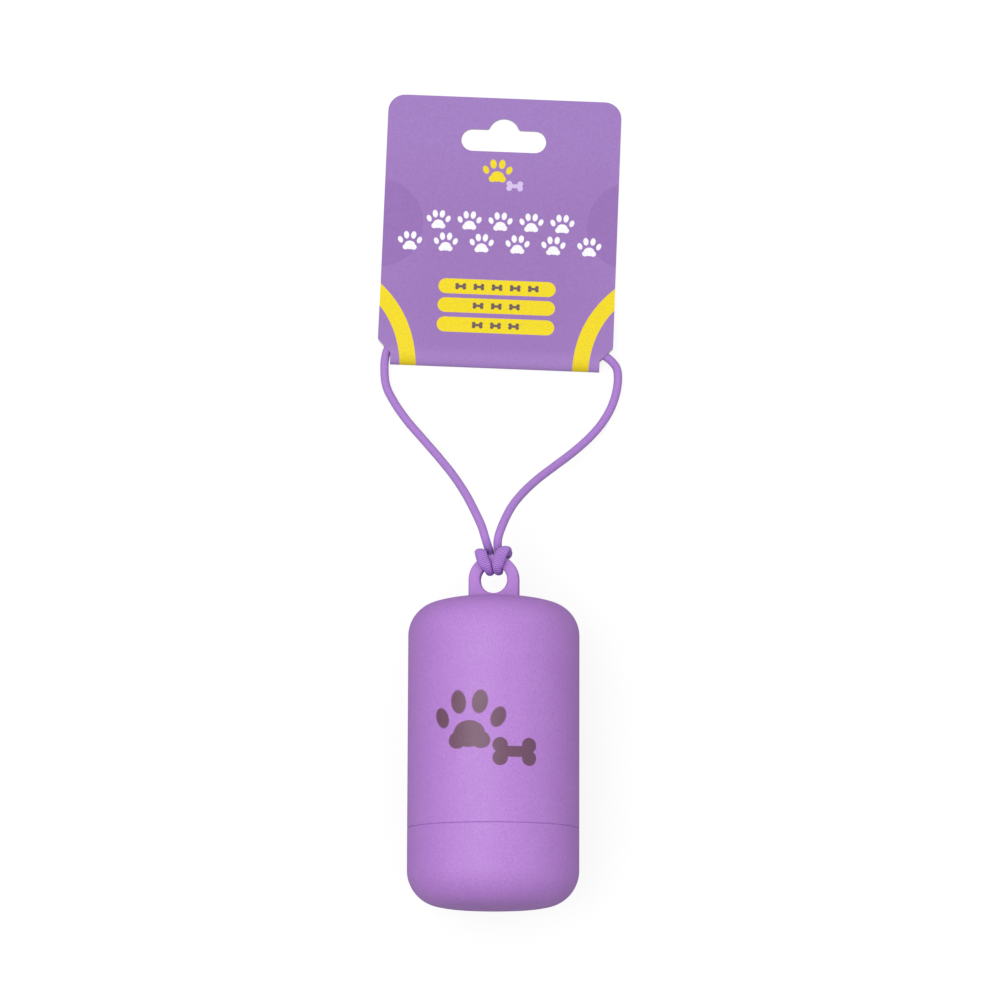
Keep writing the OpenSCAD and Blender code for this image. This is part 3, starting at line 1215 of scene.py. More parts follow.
                # The lower half is drawn out on to a square
                along = vert.co.normalized()
                vert.co = along * min(half / max(abs(along.x), TOUCH), self.lug_root / abs(along.y))
        bmesh.ops.bridge_loops(bm, edges=bm.edges[:])
        wall = bmesh.ops.extrude_face_region(bm, geom=bm.faces[:])["geom"]
        moved = [v for v in wall if isinstance(v, bmesh.types.BMVert)]
        bmesh.ops.translate(bm, verts=moved, vec=(0, 0, 2 * deep))
        bmesh.ops.translate(bm, verts=bm.verts, vec=(0, 0, -deep))
        bmesh.ops.recalc_face_normals(bm, faces=bm.faces)

        def is_rim(edge: bmesh.types.BMEdge) -> bool:
            """Tells whether an edge bounds one of the plate's two flat faces."""
            start, end = edge.verts
            return edge.is_manifold and edge.calc_face_angle() > CREASE and start.co.z * end.co.z > 0

        bmesh.ops.bevel(
            bm, geom=[e for e in bm.edges if is_rim(e)], offset=self.lug_edge, offset_type="OFFSET",
            segments=5, profile=0.5, material=-1, affect="EDGES", clamp_overlap=True,
        )
        stand = Matrix.Translation((0, 0, self.capsule.lug_height)) @ rotated(90, "X")
        bmesh.ops.transform(bm, verts=bm.verts, matrix=stand)
        return bm

    def build(self) -> Piece:
        """Builds the piece, hides the imported part that it stands for, and hangs it on the body that it
        rides on.

        Returns:
            The piece.
        """
        c = self.capsule
        bm = bmesh.new()
        spun(bm, self.section(), c.around)
        self.add_crown(bm)
        tidy(bm)
        lug = self.lug()
        plate = bpy.data.meshes.new("lug")
        lug.to_mesh(plate)
        lug.free()
        bm.from_mesh(plate)
        bpy.data.meshes.remove(plate)
        front = [f for f in bm.faces if (m := f.calc_center_median()).y < -1 and m.xy.length > c.bore + 1]
        chart_faces(bm, "print", lambda p: (c.radius * math.atan2(p.x, -p.y), p.z), front)
        piece = make_piece(bm, "upper_shell_moulded", c.lay(), [self.finish])
        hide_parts("upper_shell")
        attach(piece, Body.DISPENSER.value)
        report_piece(piece, Body.DISPENSER)
        return piece


@dataclass
class LowerCup:
    """Lower cup: a plain bowl whose thinned base is cut by a cross slit with relief holes.

    Attributes:
        petal_radius: Radius of the thinned part of the base.
        petal_thick: Height of its inner face.
        recess_lip: Width of the slope from there up to the rest of the base.
        arm: Distance from the axis to the centre of each relief hole.
        slit_half: Half of the slit's width.
        relief: Radius of the relief holes.
        slit_turn: Turn of the cross, in degrees.
        edge: Rounding of the slit's edges.
        lead_in: Chamfer at the mouth of the bore.
    """

    capsule: Capsule
    finish: Material
    petal_radius: float = 12.0
    petal_thick: float = 1.3
    recess_lip: float = 0.8
    arm: float = 9.2
    slit_half: float = 0.3
    relief: float = 0.8
    slit_turn: float = 45.0
    edge: float = 0.12
    lead_in: float = 0.3

    def section(self) -> Section:
        """Gives the turned section, from the petals' edge round the outside to their edge inside.

        Returns:
            Points as (radius, height).
        """
        c = self.capsule
        points = c.outside(self.petal_radius, c.base_end)
        low, steps = points[-1][1], 4
        points += [(c.radius, low + (c.seam - c.rim_band - low) * i / steps) for i in range(1, steps + 1)]
        points += arc((c.radius - c.rim_round, c.seam - c.rim_round), c.rim_round, 0, 90, 4)
        points += [(c.bore + self.lead_in, c.seam), (c.bore, c.seam - self.lead_in)]
        points += c.base_inside(self.petal_radius + self.recess_lip)
        return points + [(self.petal_radius, self.petal_thick)]

    def slit_point(self, column: int, grow: float) -> Vector:
        """Gives a point on the cross slit's outline.

        Args:
            column: The point's number round the cross.
            grow: How far the outline is grown into the petals.

        Returns:
            The point, at height 0.
        """
        quarter, side = self.capsule.around // 4, 6
        ring = quarter - 2 * side
        arm, step = divmod(column + quarter // 2, quarter)
        neck = self.arm - math.sqrt(self.relief**2 - self.slit_half**2)
        if side < step < side + ring:
            start = math.pi + math.asin(self.slit_half / self.relief)
            angle = start + (4 * math.pi - 2 * start) * (step - side) / ring
            reach = self.relief + grow
            x, y = self.arm + reach * math.cos(angle), reach * math.sin(angle)
        else:
            back = step >= side + ring
            share = (quarter - step if back else step) / side
            x = self.slit_half + (neck - self.slit_half) * share + (grow if step == 0 else 0.0)
            y = (self.slit_half + grow) * (1 if back else -1)
        turn = math.radians(self.slit_turn) + math.pi / 2 * arm
        return Matrix.Rotation(turn, 3, "Z") @ Vector((x, y, 0.0))

    def add_petals(self, bm: Mesh) -> None:
        """Adds both faces of the petals and the slit's walls between them.

        Args:
            bm: The cup's mesh.
        """
        c, t, e = self.capsule, self.petal_thick, self.edge
        spread = 5
        soft = (0.0, 0.3, 0.62, 1.0)
        cut = [(e * (1 - math.sin(math.pi / 2 * s)), e * (1 - math.cos(math.pi / 2 * s))) for s in soft]

        def place(row: int, column: int) -> Vector:
            """Gives a place on the petals.

            Args:
                row: The row, from outside through the slit to inside.
                column: The column round the axis.

            Returns:
                The place.
            """
            inside = row >= spread + len(cut)
            near = 2 * (spread + len(cut)) - 1 - row if inside else row
            angle = math.radians(self.slit_turn) + 2 * math.pi * column / c.around
            edge = Vector((self.petal_radius * math.cos(angle), self.petal_radius * math.sin(angle), 0.0))
            grow, sink = cut[max(0, near - spread)]
            slit = self.slit_point(column, grow)
            spot = edge.lerp(slit, min(1.0, near / spread))
            drop = c.end_depth(spot.xy.length, c.radius, c.base_end)
            spot.z = t - sink if inside else drop + sink
            return spot

        wrapped_grid(bm, 2 * (spread + len(cut)), c.around, place)

    def build(self) -> Piece:
        """Builds the piece, hides the imported part that it stands for, and hangs it on the body that it
        rides on.

        Returns:
            The piece.
        """
        c = self.capsule
        bm = bmesh.new()
        spun(bm, self.section(), c.around)
        self.add_petals(bm)
        tidy(bm)
        piece = make_piece(bm, "lower_cup_moulded", c.lay(), [self.finish])
        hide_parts("lower_cup")
        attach(piece, Body.CUP.value)
        report_piece(piece, Body.CUP)
        return piece


# ---------------------------------------------------------------------- roll


@dataclass
class BagRoll:
    """Wound roll of bags: spiral turns on both ends and the outer turn's loose edge along its side.

    Attributes:
        core: Radius of the board tube inside the roll.
        core_margin: Width next to the tube that stays plain.
        foot: Height of the roll's lower end in the capsule.
        drop: How far the roll's axis lies below the capsule's.
        soft_edge: Rounding of the roll's edges.
        turn_pitch: Pitch of the turns that show at the ends.
        turn_depth: Depth of the groove between two of them.
        film_step: Height of the step at the loose edge.
    """

    capsule: Capsule
    finish: Material
    radius: float = 16.5
    core: float = 8.5
    core_margin: float = 0.05
    length: float = 60.0
    foot: float = 8.0
    drop: float = 1.0
    soft_edge: float = 0.6
    turn_pitch: float = 0.55
    turn_depth: float = 0.09
    film_step: float = 0.12

    def lay(self) -> Matrix:
        """Gives the roll's frame in the row's, in millimetres."""
        x, y, z = self.capsule.stand
        return Matrix.Translation((x, y + self.foot, z - self.drop)) @ rotated(-90, "X")

    def section(self) -> Section:
        """Gives the turned section, closed on itself.

        Returns:
            Points as (radius, height).
        """
        rows, steps = 60, 12
        flat = self.radius - self.soft_edge
        face = [self.core + (flat - self.core) * i / rows for i in range(rows + 1)]
        points = [(r, 0.0) for r in face]
        points += arc((flat, self.soft_edge), self.soft_edge, -90, 0, 5)[1:]
        points += [(self.radius, self.length * i / steps) for i in range(1, steps)]
        points += arc((flat, self.length - self.soft_edge), self.soft_edge, 0, 90, 5)
        points += [(r, self.length) for r in reversed(face[:-1])]
        return points + [(self.core, 0.0)]

    def build(self) -> Piece:
        """Builds the piece, hides the imported part that it stands for, and hangs it on the body that it
        rides on.

        Returns:
            The piece.
        """
        bm = bmesh.new()
        spun(bm, self.section(), self.capsule.around)
        bmesh.ops.remove_doubles(bm, verts=bm.verts, dist=MERGE)
        for vert in bm.verts:
            self.wind(vert)
        bmesh.ops.recalc_face_normals(bm, faces=bm.faces)
        piece = make_piece(bm, "bag_roll_wound", self.lay(), [self.finish], 50.0)
        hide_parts("bag_roll")
        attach(piece, Body.ROLL.value)
        report_piece(piece, Body.ROLL)
        return piece

    def wind(self, vert: bmesh.types.BMVert) -> None:
        """Moves a vertex of the plain ring on to the spiral of the wound film.

        The outer turn's radius grows by one film all the way round to its loose edge. The first column past
        the edge is drawn up to it, so that the film ends there in a step.

        Args:
            vert: The vertex.
        """
        reach = vert.co.xy.length
        turn = (math.atan2(vert.co.y, vert.co.x) / (2 * math.pi)) % 1.0
        if reach < self.core + self.core_margin:
            return
        if min(vert.co.z, self.length - vert.co.z) < TOUCH:
            phase = ((reach - self.core) / self.turn_pitch - turn) % 1.0
            sink = self.turn_depth * abs(2 * phase - 1)
            vert.co.z += sink if vert.co.z < self.length / 2 else -sink
        elif reach > self.radius - self.soft_edge / 2:
            first, drawn = 1.2 / self.capsule.around, 0.1 / self.capsule.around
            if 0 < turn < first:
                angle = 2 * math.pi * drawn
                vert.co.xy = (reach * math.cos(angle), reach * math.sin(angle))
                turn = 0.0
            elif turn == 0:
                turn = 1.0
            vert.co.xy = vert.co.xy * (1 - self.film_step * (1 - turn) / self.radius)


@dataclass
class RollCore:
    """Board tube that the bags are wound on, with the spiral joint of its inner ply.

    Attributes:
        proud: How far the tube stands out of the roll at either end.
        joint_depth: Depth of the joint's groove.
        joint_pitch: How far the joint climbs in a turn.
        joint_half: Half of its width, as a share of the pitch.
    """

    roll: BagRoll
    finish: Material
    wall: float = 0.8
    proud: float = 0.3
    edge: float = 0.15
    joint_depth: float = 0.07
    joint_pitch: float = 30.0
    joint_half: float = 0.02

    def section(self) -> Section:
        """Gives the turned section, closed on itself, up the outside and down the bore.

        Returns:
            Points as (radius, height).
        """
        inner, outer, edge = self.roll.core - self.wall, self.roll.core, self.edge
        low, high = -self.proud, self.roll.length + self.proud
        steps, round_steps = 60, 3
        climb = [low + edge + (high - low - 2 * edge) * i / steps for i in range(steps + 1)]
        section = arc((outer - edge, low + edge), edge, -90, 0, round_steps)[:-1]
        section += [(outer, z) for z in climb]
        section += arc((outer - edge, high - edge), edge, 0, 90, round_steps)[1:]
        section += arc((inner + edge, high - edge), edge, 90, 180, round_steps)[:-1]
        section += [(inner, z) for z in reversed(climb)]
        section += arc((inner + edge, low + edge), edge, 180, 270, round_steps)[1:]
        return section + [section[0]]

    def cut_joint(self, vert: bmesh.types.BMVert) -> None:
        """Sinks a vertex of the bore that lies on the spiral joint.

        Args:
            vert: The vertex.
        """
        inner = self.roll.core - self.wall
        turn = math.atan2(vert.co.y, vert.co.x) / (2 * math.pi)
        phase = abs((vert.co.z / self.joint_pitch - turn) % 1.0 - 0.5)
        if vert.co.xy.length < inner + TOUCH and phase < self.joint_half:
            vert.co.xy = vert.co.xy * (1 + self.joint_depth / inner)

    def build(self) -> Piece:
        """Builds the piece, hides the imported part that it stands for, and hangs it on the body that it
        rides on.

        Returns:
            The piece.
        """
        r = self.roll
        bm = bmesh.new()
        spun(bm, self.section(), r.capsule.around)
        bmesh.ops.remove_doubles(bm, verts=bm.verts, dist=MERGE)
        for vert in bm.verts:
            self.cut_joint(vert)
        bmesh.ops.recalc_face_normals(bm, faces=bm.faces)
        piece = make_piece(bm, "roll_core_wound", r.lay(), [self.finish])
        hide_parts("roll_core")
        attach(piece, Body.ROLL.value)
        report_piece(piece, Body.ROLL)
        return piece


# ---------------------------------------------------------------------- card


@dataclass
class HeaderCard:
    """Header card: one sheet with a slot in each panel, folded round the cord and pressed flat above it.

    Attributes:
        height: Distance from the fold to the upper edge.
        tab_half: Half of the width next to the fold.
        notch: Heights at which the step to the full width ends and starts, and its bevel.
        top: Height of the front panel's face over the cord.
        fold_round: Rounding of the fold at the back.
        fold_rise: How far up the card the fold's rounding reaches at the front.
        level_end: How far up the card the front panel stays level.
        fall: The stretch over which it comes down on the back panel.
        slot_height: Height of the hanger slot's middle.
        slot_half: Half of the slot's length.
        slot_radius: Radius of the slot's ends.
        rise_radius: Radius of the bulge above the slot's middle.
        rise_up: Height of the bulge's centre above the slot's.
        slot_round: Rounding between the bulge and the slot.
        stand: Place of the fold's middle in the row's frame.
        turn: Turn on the surface, in degrees.
        line: The section's points, as (up the card, above the surface).
        reach: For each of them, the way along the sheet from the fold.
    """

    printed: Material
    plain: Material
    width: float = 62.0
    height: float = 72.9
    thick: float = 0.4
    corner: float = 4.5
    tab_half: float = 27.6
    notch: Triple = (6.35, 3.25, 0.5)
    top: float = 3.2
    fold_round: float = 0.45
    fold_rise: float = 3.6
    level_end: float = 8.4
    fall: float = 15.8
    slot_height: float = 61.3
    slot_half: float = 11.25
    slot_radius: float = 2.95
    rise_radius: float = 4.1
    rise_up: float = 1.9
    slot_round: float = 0.8
    stand: Spot = (-1.3, 35.2)
    turn: float = 2.1
    fold_steps: int = 15
    fall_steps: int = 24
    columns: int = 12
    line: Section = field(default_factory=list)
    reach: list[float] = field(default_factory=list)

    def lay(self) -> Matrix:
        """Gives the card's frame in the row's, in millimetres."""
        return Matrix.Translation((*self.stand, 0.0)) @ rotated(-self.turn, "Z")

    def trace(self) -> None:
        """Works out the outer face's section, from the back panel's top round the fold to the front's."""
        r, t = self.fold_round, self.thick
        line = [(self.height, 0.0), (self.height / 2, 0.0)]
        line += arc((r, r), r, 270, 180, 5)
        for i in range(1, self.fold_steps + 1):
            a = math.radians(90 / self.fold_steps * i)
            line.append((self.fold_rise * (1 - math.cos(a)), t + (self.top - t) * math.sin(a)))
        line.append((self.level_end, self.top))
        for i in range(1, self.fall_steps + 1):
            drop = (self.top - 2 * t) * (1 - math.cos(math.pi * i / self.fall_steps)) / 2
            line.append((self.level_end + self.fall * i / self.fall_steps, self.top - drop))
        line.append((self.height, 2 * t))
        reach = [0.0]
        for a, b in zip(line, line[1:]):
            reach.append(reach[-1] + math.dist(a, b))
        fold = line.index(min(line))
        self.line, self.reach = line, [s - reach[fold] for s in reach]

    def along(self, height: float, front: bool) -> float:
        """Gives the way along the sheet, from the fold, to a height on one panel.

        Args:
            height: The height above the fold.
            front: Whether the panel is the front one.

        Returns:
            The way along, below 0 on the back panel.
        """
        found = 0.0
        for (a, b), (s, e) in zip(zip(self.line, self.line[1:]), zip(self.reach, self.reach[1:])):
            if (s >= 0) == front and min(a[0], b[0]) <= height <= max(a[0], b[0]) and a[0] != b[0]:
                found = s + (e - s) * (height - a[0]) / (b[0] - a[0])
        return found

    def bent(self, spot: Vector) -> Vector:
        """Gives the place of a point of the flat sheet once the sheet is folded.

        Args:
            spot: Across the sheet, along it from the fold, and out from its printed face.

        Returns:
            Across the card, up it from the fold, and above the surface.
        """
        last = len(self.reach) - 1
        index = next((i for i in range(1, last) if spot.y <= self.reach[i]), last)
        share = (spot.y - self.reach[index - 1]) / (self.reach[index] - self.reach[index - 1])
        a, b = Vector(self.line[index - 1]), Vector(self.line[index])
        out = self.outward(index - 1).lerp(self.outward(index), share)
        place = a.lerp(b, share) + out * spot.z
        return Vector((spot.x, place.x, place.y))

    def outward(self, index: int) -> Vector:
        """Gives the printed face's direction at a point of the section.

        Args:
            index: The point's number.

        Returns:
            The direction, of length 1.
        """
        near = Vector(self.line[max(index - 1, 0)])
        far = Vector(self.line[min(index + 1, len(self.line) - 1)])
        here = Vector(self.line[index])
        run = ((here - near).normalized() + (far - here).normalized()).normalized()
        return Vector((-run.y, run.x))

    def outline(self) -> Section:
        """Gives the flat sheet's outline, both panels in one.

        Returns:
            Points across the flat sheet and along it from the fold.
        """
        half = self.width / 2
        top, low, soft = self.notch
        side = arc((half - self.corner, self.height - self.corner), self.corner, 90, 0, 8)
        side += [(half, top), (self.tab_half + soft, low), (self.tab_half, low - soft)]
        right = [(u, self.along(v, True)) for u, v in side]
        right += [(u, self.along(v, False)) for u, v in reversed(side)]
        return right + [(-u, s) for u, s in reversed(right)]

    def slot(self, front: bool) -> Section:
        """Gives the hanger slot's outline on one panel of the flat sheet.

        Args:
            front: Whether the panel is the front one.

        Returns:
            Points across the flat sheet and along it from the fold.
        """
        r, rise, soft = self.slot_radius, self.rise_radius, self.slot_round
        level = r + soft
        out = math.sqrt((rise + soft) ** 2 - (level - self.rise_up) ** 2)
        lean = math.degrees(math.asin((level - self.rise_up) / (rise + soft)))
        side = arc((self.slot_half - r, 0), r, -90, 90, 14)
        side += arc((out, level), soft, 270, 180 + lean, 5)
        side += arc((0, self.rise_up), rise, lean, 90, 8)[1:]
        whole = side + [(-u, v) for u, v in reversed(side[:-1])]
        return [(u, self.along(self.slot_height + v, front)) for u, v in whole]

    def flat_sheet(self) -> Mesh:
        """Gives the flat sheet with its thickness, cut across wherever it will bend.

        Returns:
            The sheet's mesh, with its printed face up.
        """
        bm = bmesh.new()
        for loop in (self.outline(), self.slot(True), self.slot(False)):
            verts = [bm.verts.new((u, s, 0.0)) for u, s in loop]
            for a, b in zip(verts, verts[1:] + verts[:1]):
                bm.edges.new((a, b))
        bmesh.ops.triangle_fill(bm, use_beauty=True, use_dissolve=False, edges=bm.edges[:], normal=(0, 0, 1))
        cuts = [((0.0, s, 0.0), (0.0, 1.0, 0.0)) for s in self.reach[1:-1]]
        half = self.columns // 2
        cuts += [((self.width * i / self.columns, 0.0, 0.0), (1.0, 0.0, 0.0)) for i in range(1 - half, half)]
        for point, normal in cuts:
            geom = bm.verts[:] + bm.edges[:] + bm.faces[:]
            bmesh.ops.bisect_plane(bm, geom=geom, dist=1e-5, plane_co=point, plane_no=normal)
        wall = bmesh.ops.extrude_face_region(bm, geom=bm.faces[:])["geom"]
        moved = [v for v in wall if isinstance(v, bmesh.types.BMVert)]
        bmesh.ops.translate(bm, verts=moved, vec=(0, 0, -self.thick))
        bmesh.ops.recalc_face_normals(bm, faces=bm.faces)
        for face in bm.faces:
            face.material_index = 0 if face.normal.z > 0.5 else 1
        return bm

    def build(self) -> Piece:
        """Builds the piece, hides the imported part that it stands for, and hangs it on the body that it
        rides on.

        Returns:
            The piece.
        """
        self.trace()
        bm = self.flat_sheet()

        def chart(spot: Vector) -> Spot:
            """Gives the print's place on the front panel, and its mirror place on the back one."""
            height = self.bent(Vector((spot.x, spot.y, 0.0))).y
            return (spot.x, height if spot.y >= 0 else -height)

        chart_faces(bm, "sheet", chart)
        for vert in bm.verts:
            vert.co = self.bent(vert.co)
        piece = make_piece(bm, "header_card_folded", self.lay(), [self.printed, self.plain])
        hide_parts("header_card")
        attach(piece, Body.CARD.value)
        report_piece(piece, Body.CARD)
        return piece


# ---------------------------------------------------------------------- cord


@dataclass
class Route:
    """A smooth run through given points, a centripetal Catmull-Rom curve, with its rings evenly spaced.

    Attributes:
        points: The given points.
        step: Greatest distance between two rings.
        places: The rings' centres.
        marks: For each ring, its number along the given points.
    """

    points: list[Vector]
    step: float
    places: list[Vector] = field(default_factory=list)
    marks: list[float] = field(default_factory=list)

    def run(self) -> "Route":
        """Fills in the places and, for each, its number along the given points.

        Returns:
            The route itself.
        """
        first = self.points[0] * 2 - self.points[1]
        last = self.points[-1] * 2 - self.points[-2]
        p = [first, *self.points, last]
        for i in range(1, len(p) - 2):
            gaps = [math.sqrt((p[i + k + 1] - p[i + k]).length) for k in (-1, 0, 1)]
            before, here, after = p[i] - p[i - 1], p[i + 1] - p[i], p[i + 2] - p[i + 1]
            leave = (before / gaps[0] - (before + here) / (gaps[0] + gaps[1]) + here / gaps[1]) * gaps[1]
            arrive = (here / gaps[1] - (here + after) / (gaps[1] + gaps[2]) + after / gaps[2]) * gaps[1]
            count = max(2, math.ceil(here.length / self.step))
            for k in range(count):
                t = k / count
                spot = p[i] * (2 * t**3 - 3 * t**2 + 1) + leave * (t**3 - 2 * t**2 + t)
                spot += p[i + 1] * (3 * t**2 - 2 * t**3) + arrive * (t**3 - t**2)
                self.places.append(spot)
                self.marks.append(i - 1 + t)
        self.places.append(self.points[-1])
        self.marks.append(float(len(self.points) - 1))
        return self

    def length(self) -> float:
        """Gives the run's length."""
        return sum((b - a).length for a, b in zip(self.places, self.places[1:]))


def swell(value: float, up: Spot, down: Spot) -> float:
    """Rises smoothly from 0 to 1 over the span up, and falls back over the span down.

    Args:
        value: Where it is read.
        up: Where the rise starts and ends.
        down: Where the fall starts and ends.

    Returns:
        The height there.
    """

    def ease(low: float, high: float) -> float:
        """Gives the share of the way from low to high, eased at both ends."""
        t = min(1.0, max(0.0, (value - low) / (high - low)))
        return t * t * (3 - 2 * t)

    return ease(*up) * (1 - ease(*down))


@dataclass
class ElasticCord:
    """One loop of braided elastic: hitched through the lug, down both legs, and through the folded card.

    Attributes:
        halfway: Number of the point on either leg at which the two stretches meet.
        flare: How much wider the strands spread where the cord is pulled tight.
        flare_shift: How far they spread to one side.
        squeeze: How much flatter the cord is there.
        lift: How far it is lifted there.
        flat_from: Points of the hitch over which the cord flattens.
        wide_from: Points over which the strands spread.
        loose_from: Points over which the cord is round again.
        lug_bend: Where the bend at the lug starts and ends, along the row's Y axis.
        card_bend: Where the bend at the card starts and ends, up the card from its fold.
        hitch: Points through the lug, from its centre in the capsule's frame.
        left: Points of the left leg, from the hitch to the card, in the row's frame.
        right: Points of the right leg.
        inside: Points inside the folded card, in the card's frame.
    """

    capsule: Capsule
    card: HeaderCard
    finish: Material
    diameter: float = 2.2
    sides: int = 24
    step: float = 0.36
    halfway: int = 5
    flare: float = 0.42
    flare_shift: float = 0.12
    squeeze: float = 0.28
    lift: float = 0.3
    flat_from: Spot = (4.2, 5.6)
    wide_from: Spot = (6.0, 7.6)
    loose_from: Spot = (10.8, 13.2)
    lug_bend: Spot = (-15.1, -10.9)
    card_bend: Spot = (-3.8, 1.4)
    hitch: tuple[Triple, ...] = (
        (-2.3, -0.2, 10.9), (-1.75, 0.85, 8.9), (-1.4, 2.3, 7.7), (-1.25, 2.75, 6.2), (-1.25, 2.65, 3.1),
        (-1.25, 1.75, 2), (-1.25, -1.75, 2), (-1.7, -2.65, 3), (-2.25, -2.8, 4), (-2.65, -2.8, 5.1),
        (-2.95, -2.6, 6.1), (-3.2, -1.8, 6.85), (-3.4, -0.5, 7.05), (-3.45, 1, 7), (-3.45, 2.6, 6.7),
        (-2.8, 4.4, 6.35), (-1.4, 5.1, 6.2), (0, 5.25, 6.25), (1.3, 5.1, 6.5), (2.7, 4.4, 6.9),
        (3.3, 2.8, 7.2), (3.35, 1.1, 7.55), (3.25, -0.5, 7.6), (2.75, -1.9, 7.4), (2.25, -2.65, 6.5),
        (1.75, -2.8, 5.4), (1.35, -2.8, 4.2), (1.1, -2.65, 3.1), (1, -1.75, 2.1), (1, 1.75, 2.1),
        (1, 2.65, 3.2), (1, 2.75, 6.2), (0.9, 2.3, 7.7), (0.8, 0.85, 8.9), (1, 0.2, 10.9),
    )
    left: tuple[Triple, ...] = (
        (-3.5, -13, 21.9), (-4.4, -10, 21.3), (-6.7, -4.7, 18.9), (-9, 0, 15.5), (-12.2, 5.4, 10.8),
        (-16.1, 10.9, 6.2), (-20.3, 16.2, 2.9), (-24.4, 21.2, 1.4), (-27.7, 26, 1.2), (-29.8, 30.3, 1.2),
        (-30.4, 35.1, 1.2),
    )
    right: tuple[Triple, ...] = (
        (-0.2, -13, 21.9), (0.8, -9.8, 21.3), (3.1, -4.7, 19), (5.9, -0.6, 16), (9.8, 3.7, 12.3),
        (14.6, 8, 8.5), (19.4, 12.2, 5.1), (23.6, 16.3, 2.9), (26.9, 20.3, 1.6), (29.4, 24.6, 1.2),
        (30.8, 28.9, 1.2), (31.2, 32.8, 1.2),
    )
    inside: tuple[Triple, ...] = (
        (-29, -1.1, 1.2), (-28.9, 1.5, 1.35), (-28.4, 3.7, 1.6), (-27.2, 5.5, 1.65), (-25, 6.6, 1.65),
        (-22, 6.8, 1.65), (-15, 6.8, 1.65), (-8, 6.8, 1.65), (-1, 6.8, 1.65), (6, 6.8, 1.65),
        (13, 6.8, 1.65), (19, 6.8, 1.65), (23, 6.5, 1.65), (27, 5.2, 1.65), (30.2, 3.4, 1.6),
        (32.1, 1.3, 1.35), (32.6, -1.1, 1.2),
    )

    def upper_points(self) -> list[Vector]:
        """Gives the run from the left leg's middle, round the lug, to the right leg's middle.

        Returns:
            The points, in millimetres.
        """
        lay = self.capsule.lay() @ Matrix.Translation((0, 0, self.capsule.lug_height))
        hitch = [lay @ Vector(p) for p in self.hitch]
        left = [Vector(p) for p in reversed(self.left[1 : self.halfway + 1])]
        right = [Vector(p) for p in self.right[1 : self.halfway + 1]]
        return left + hitch + right

    def lower_points(self) -> list[Vector]:
        """Gives the run from the left leg's middle, through the card, to the right leg's middle.

        Returns:
            The points, in millimetres.
        """
        lay = self.card.lay()
        inside = [lay @ Vector(p) for p in self.inside]
        left = [Vector(p) for p in self.left[self.halfway : -1]]
        right = [Vector(p) for p in reversed(self.right[self.halfway : -1])]
        return left + inside + right

    def pressed(self, mark: float) -> Triple:
        """Tells how tightly the cord is pulled over the lug at a mark of the upper run.

        Args:
            mark: The place's number along the run's given points.

        Returns:
            How flat it is, how wide it spreads, and the side that it spreads to.
        """
        first = mark - self.halfway
        second = len(self.hitch) - 1 - first
        near, side = (first, -1.0) if first < second else (second, 1.0)
        flat, wide = (swell(near, up, self.loose_from) for up in (self.flat_from, self.wide_from))
        return flat, wide, side

    def tube(self, name: str, route: Route, pressed: bool) -> Piece:
        """Gives a stretch of cord with rounded ends.

        Args:
            name: The piece's name.
            route: Its centre line.
            pressed: Whether its front strands spread where they are pulled tight over the lug.

        Returns:
            The piece.
        """
        p, count, r = route.places, len(route.places), self.diameter / 2
        tangents = [(p[min(i + 1, count - 1)] - p[max(i - 1, 0)]).normalized() for i in range(count)]
        lay = self.capsule.lay().to_3x3()
        side, up = lay @ Vector((1.0, 0.0, 0.0)), lay @ Vector((0.0, 0.0, 1.0))
        normals: list[Vector] = []
        # Any start that is not along the cord will do
        last = Vector((0.02, 0.05, 1.0))
        for tangent in tangents:
            last = (last - tangent * last.dot(tangent)).normalized()
            normals.append(last)
        caps = (85, 60, 35, 12)
        rings = [(0, -math.sin(math.radians(a)), math.cos(math.radians(a))) for a in caps]
        rings += [(i, 0.0, 1.0) for i in range(count)]
        rings += [(count - 1, math.sin(math.radians(a)), math.cos(math.radians(a))) for a in reversed(caps)]
        reach = [0.0]
        for a, b in zip(p, p[1:]):
            reach.append(reach[-1] + (b - a).length)

        def place(row: int, column: int) -> Vector:
            """Gives a point of the cord's surface.

            Args:
                row: The ring's number, with the rounded ends' own among them.
                column: The number round the ring.

            Returns:
                The place.
            """
            index, ahead, share = rings[row]
            angle = 2 * math.pi * column / self.sides
            tangent, normal = tangents[index], normals[index]
            out = (normal * math.cos(angle) + tangent.cross(normal) * math.sin(angle)) * (r * share)
            if pressed:
                flat, wide, way = self.pressed(route.marks[index])
                spread = (side - tangent * side.dot(tangent)).normalized()
                deep = tangent.cross(spread)
                out -= deep * (out.dot(deep) * self.squeeze * flat)
                out += spread * (out.dot(spread) * self.flare + way * self.flare_shift) * wide
                out += up * (self.lift * flat)
            return p[index] + tangent * (ahead * r) + out

        def chart(spot: Vector) -> Spot:
            """Gives the way along the cord and round it."""
            index, ahead, _ = rings[round(spot.x)]
            return (reach[index] + ahead * r, spot.y / self.sides * math.pi * self.diameter)

        def pull(spot: Vector) -> Spot:
            """Gives how far the braid is pulled open, in place of the way along the cord."""
            index = rings[round(spot.x)][0]
            return (self.pressed(route.marks[index])[0] if pressed else 0.0, 0.0)

        bm = bmesh.new()
        wrapped_grid(bm, len(rings), self.sides, place, {"cord": chart, "pull": pull})
        bmesh.ops.remove_doubles(bm, verts=bm.verts, dist=MERGE)
        ends = [e for e in bm.edges if e.is_boundary]
        bmesh.ops.holes_fill(bm, edges=ends, sides=self.sides)
        bmesh.ops.recalc_face_normals(bm, faces=bm.faces)
        return make_piece(bm, name, Matrix.Identity(4), [self.finish], 60.0)

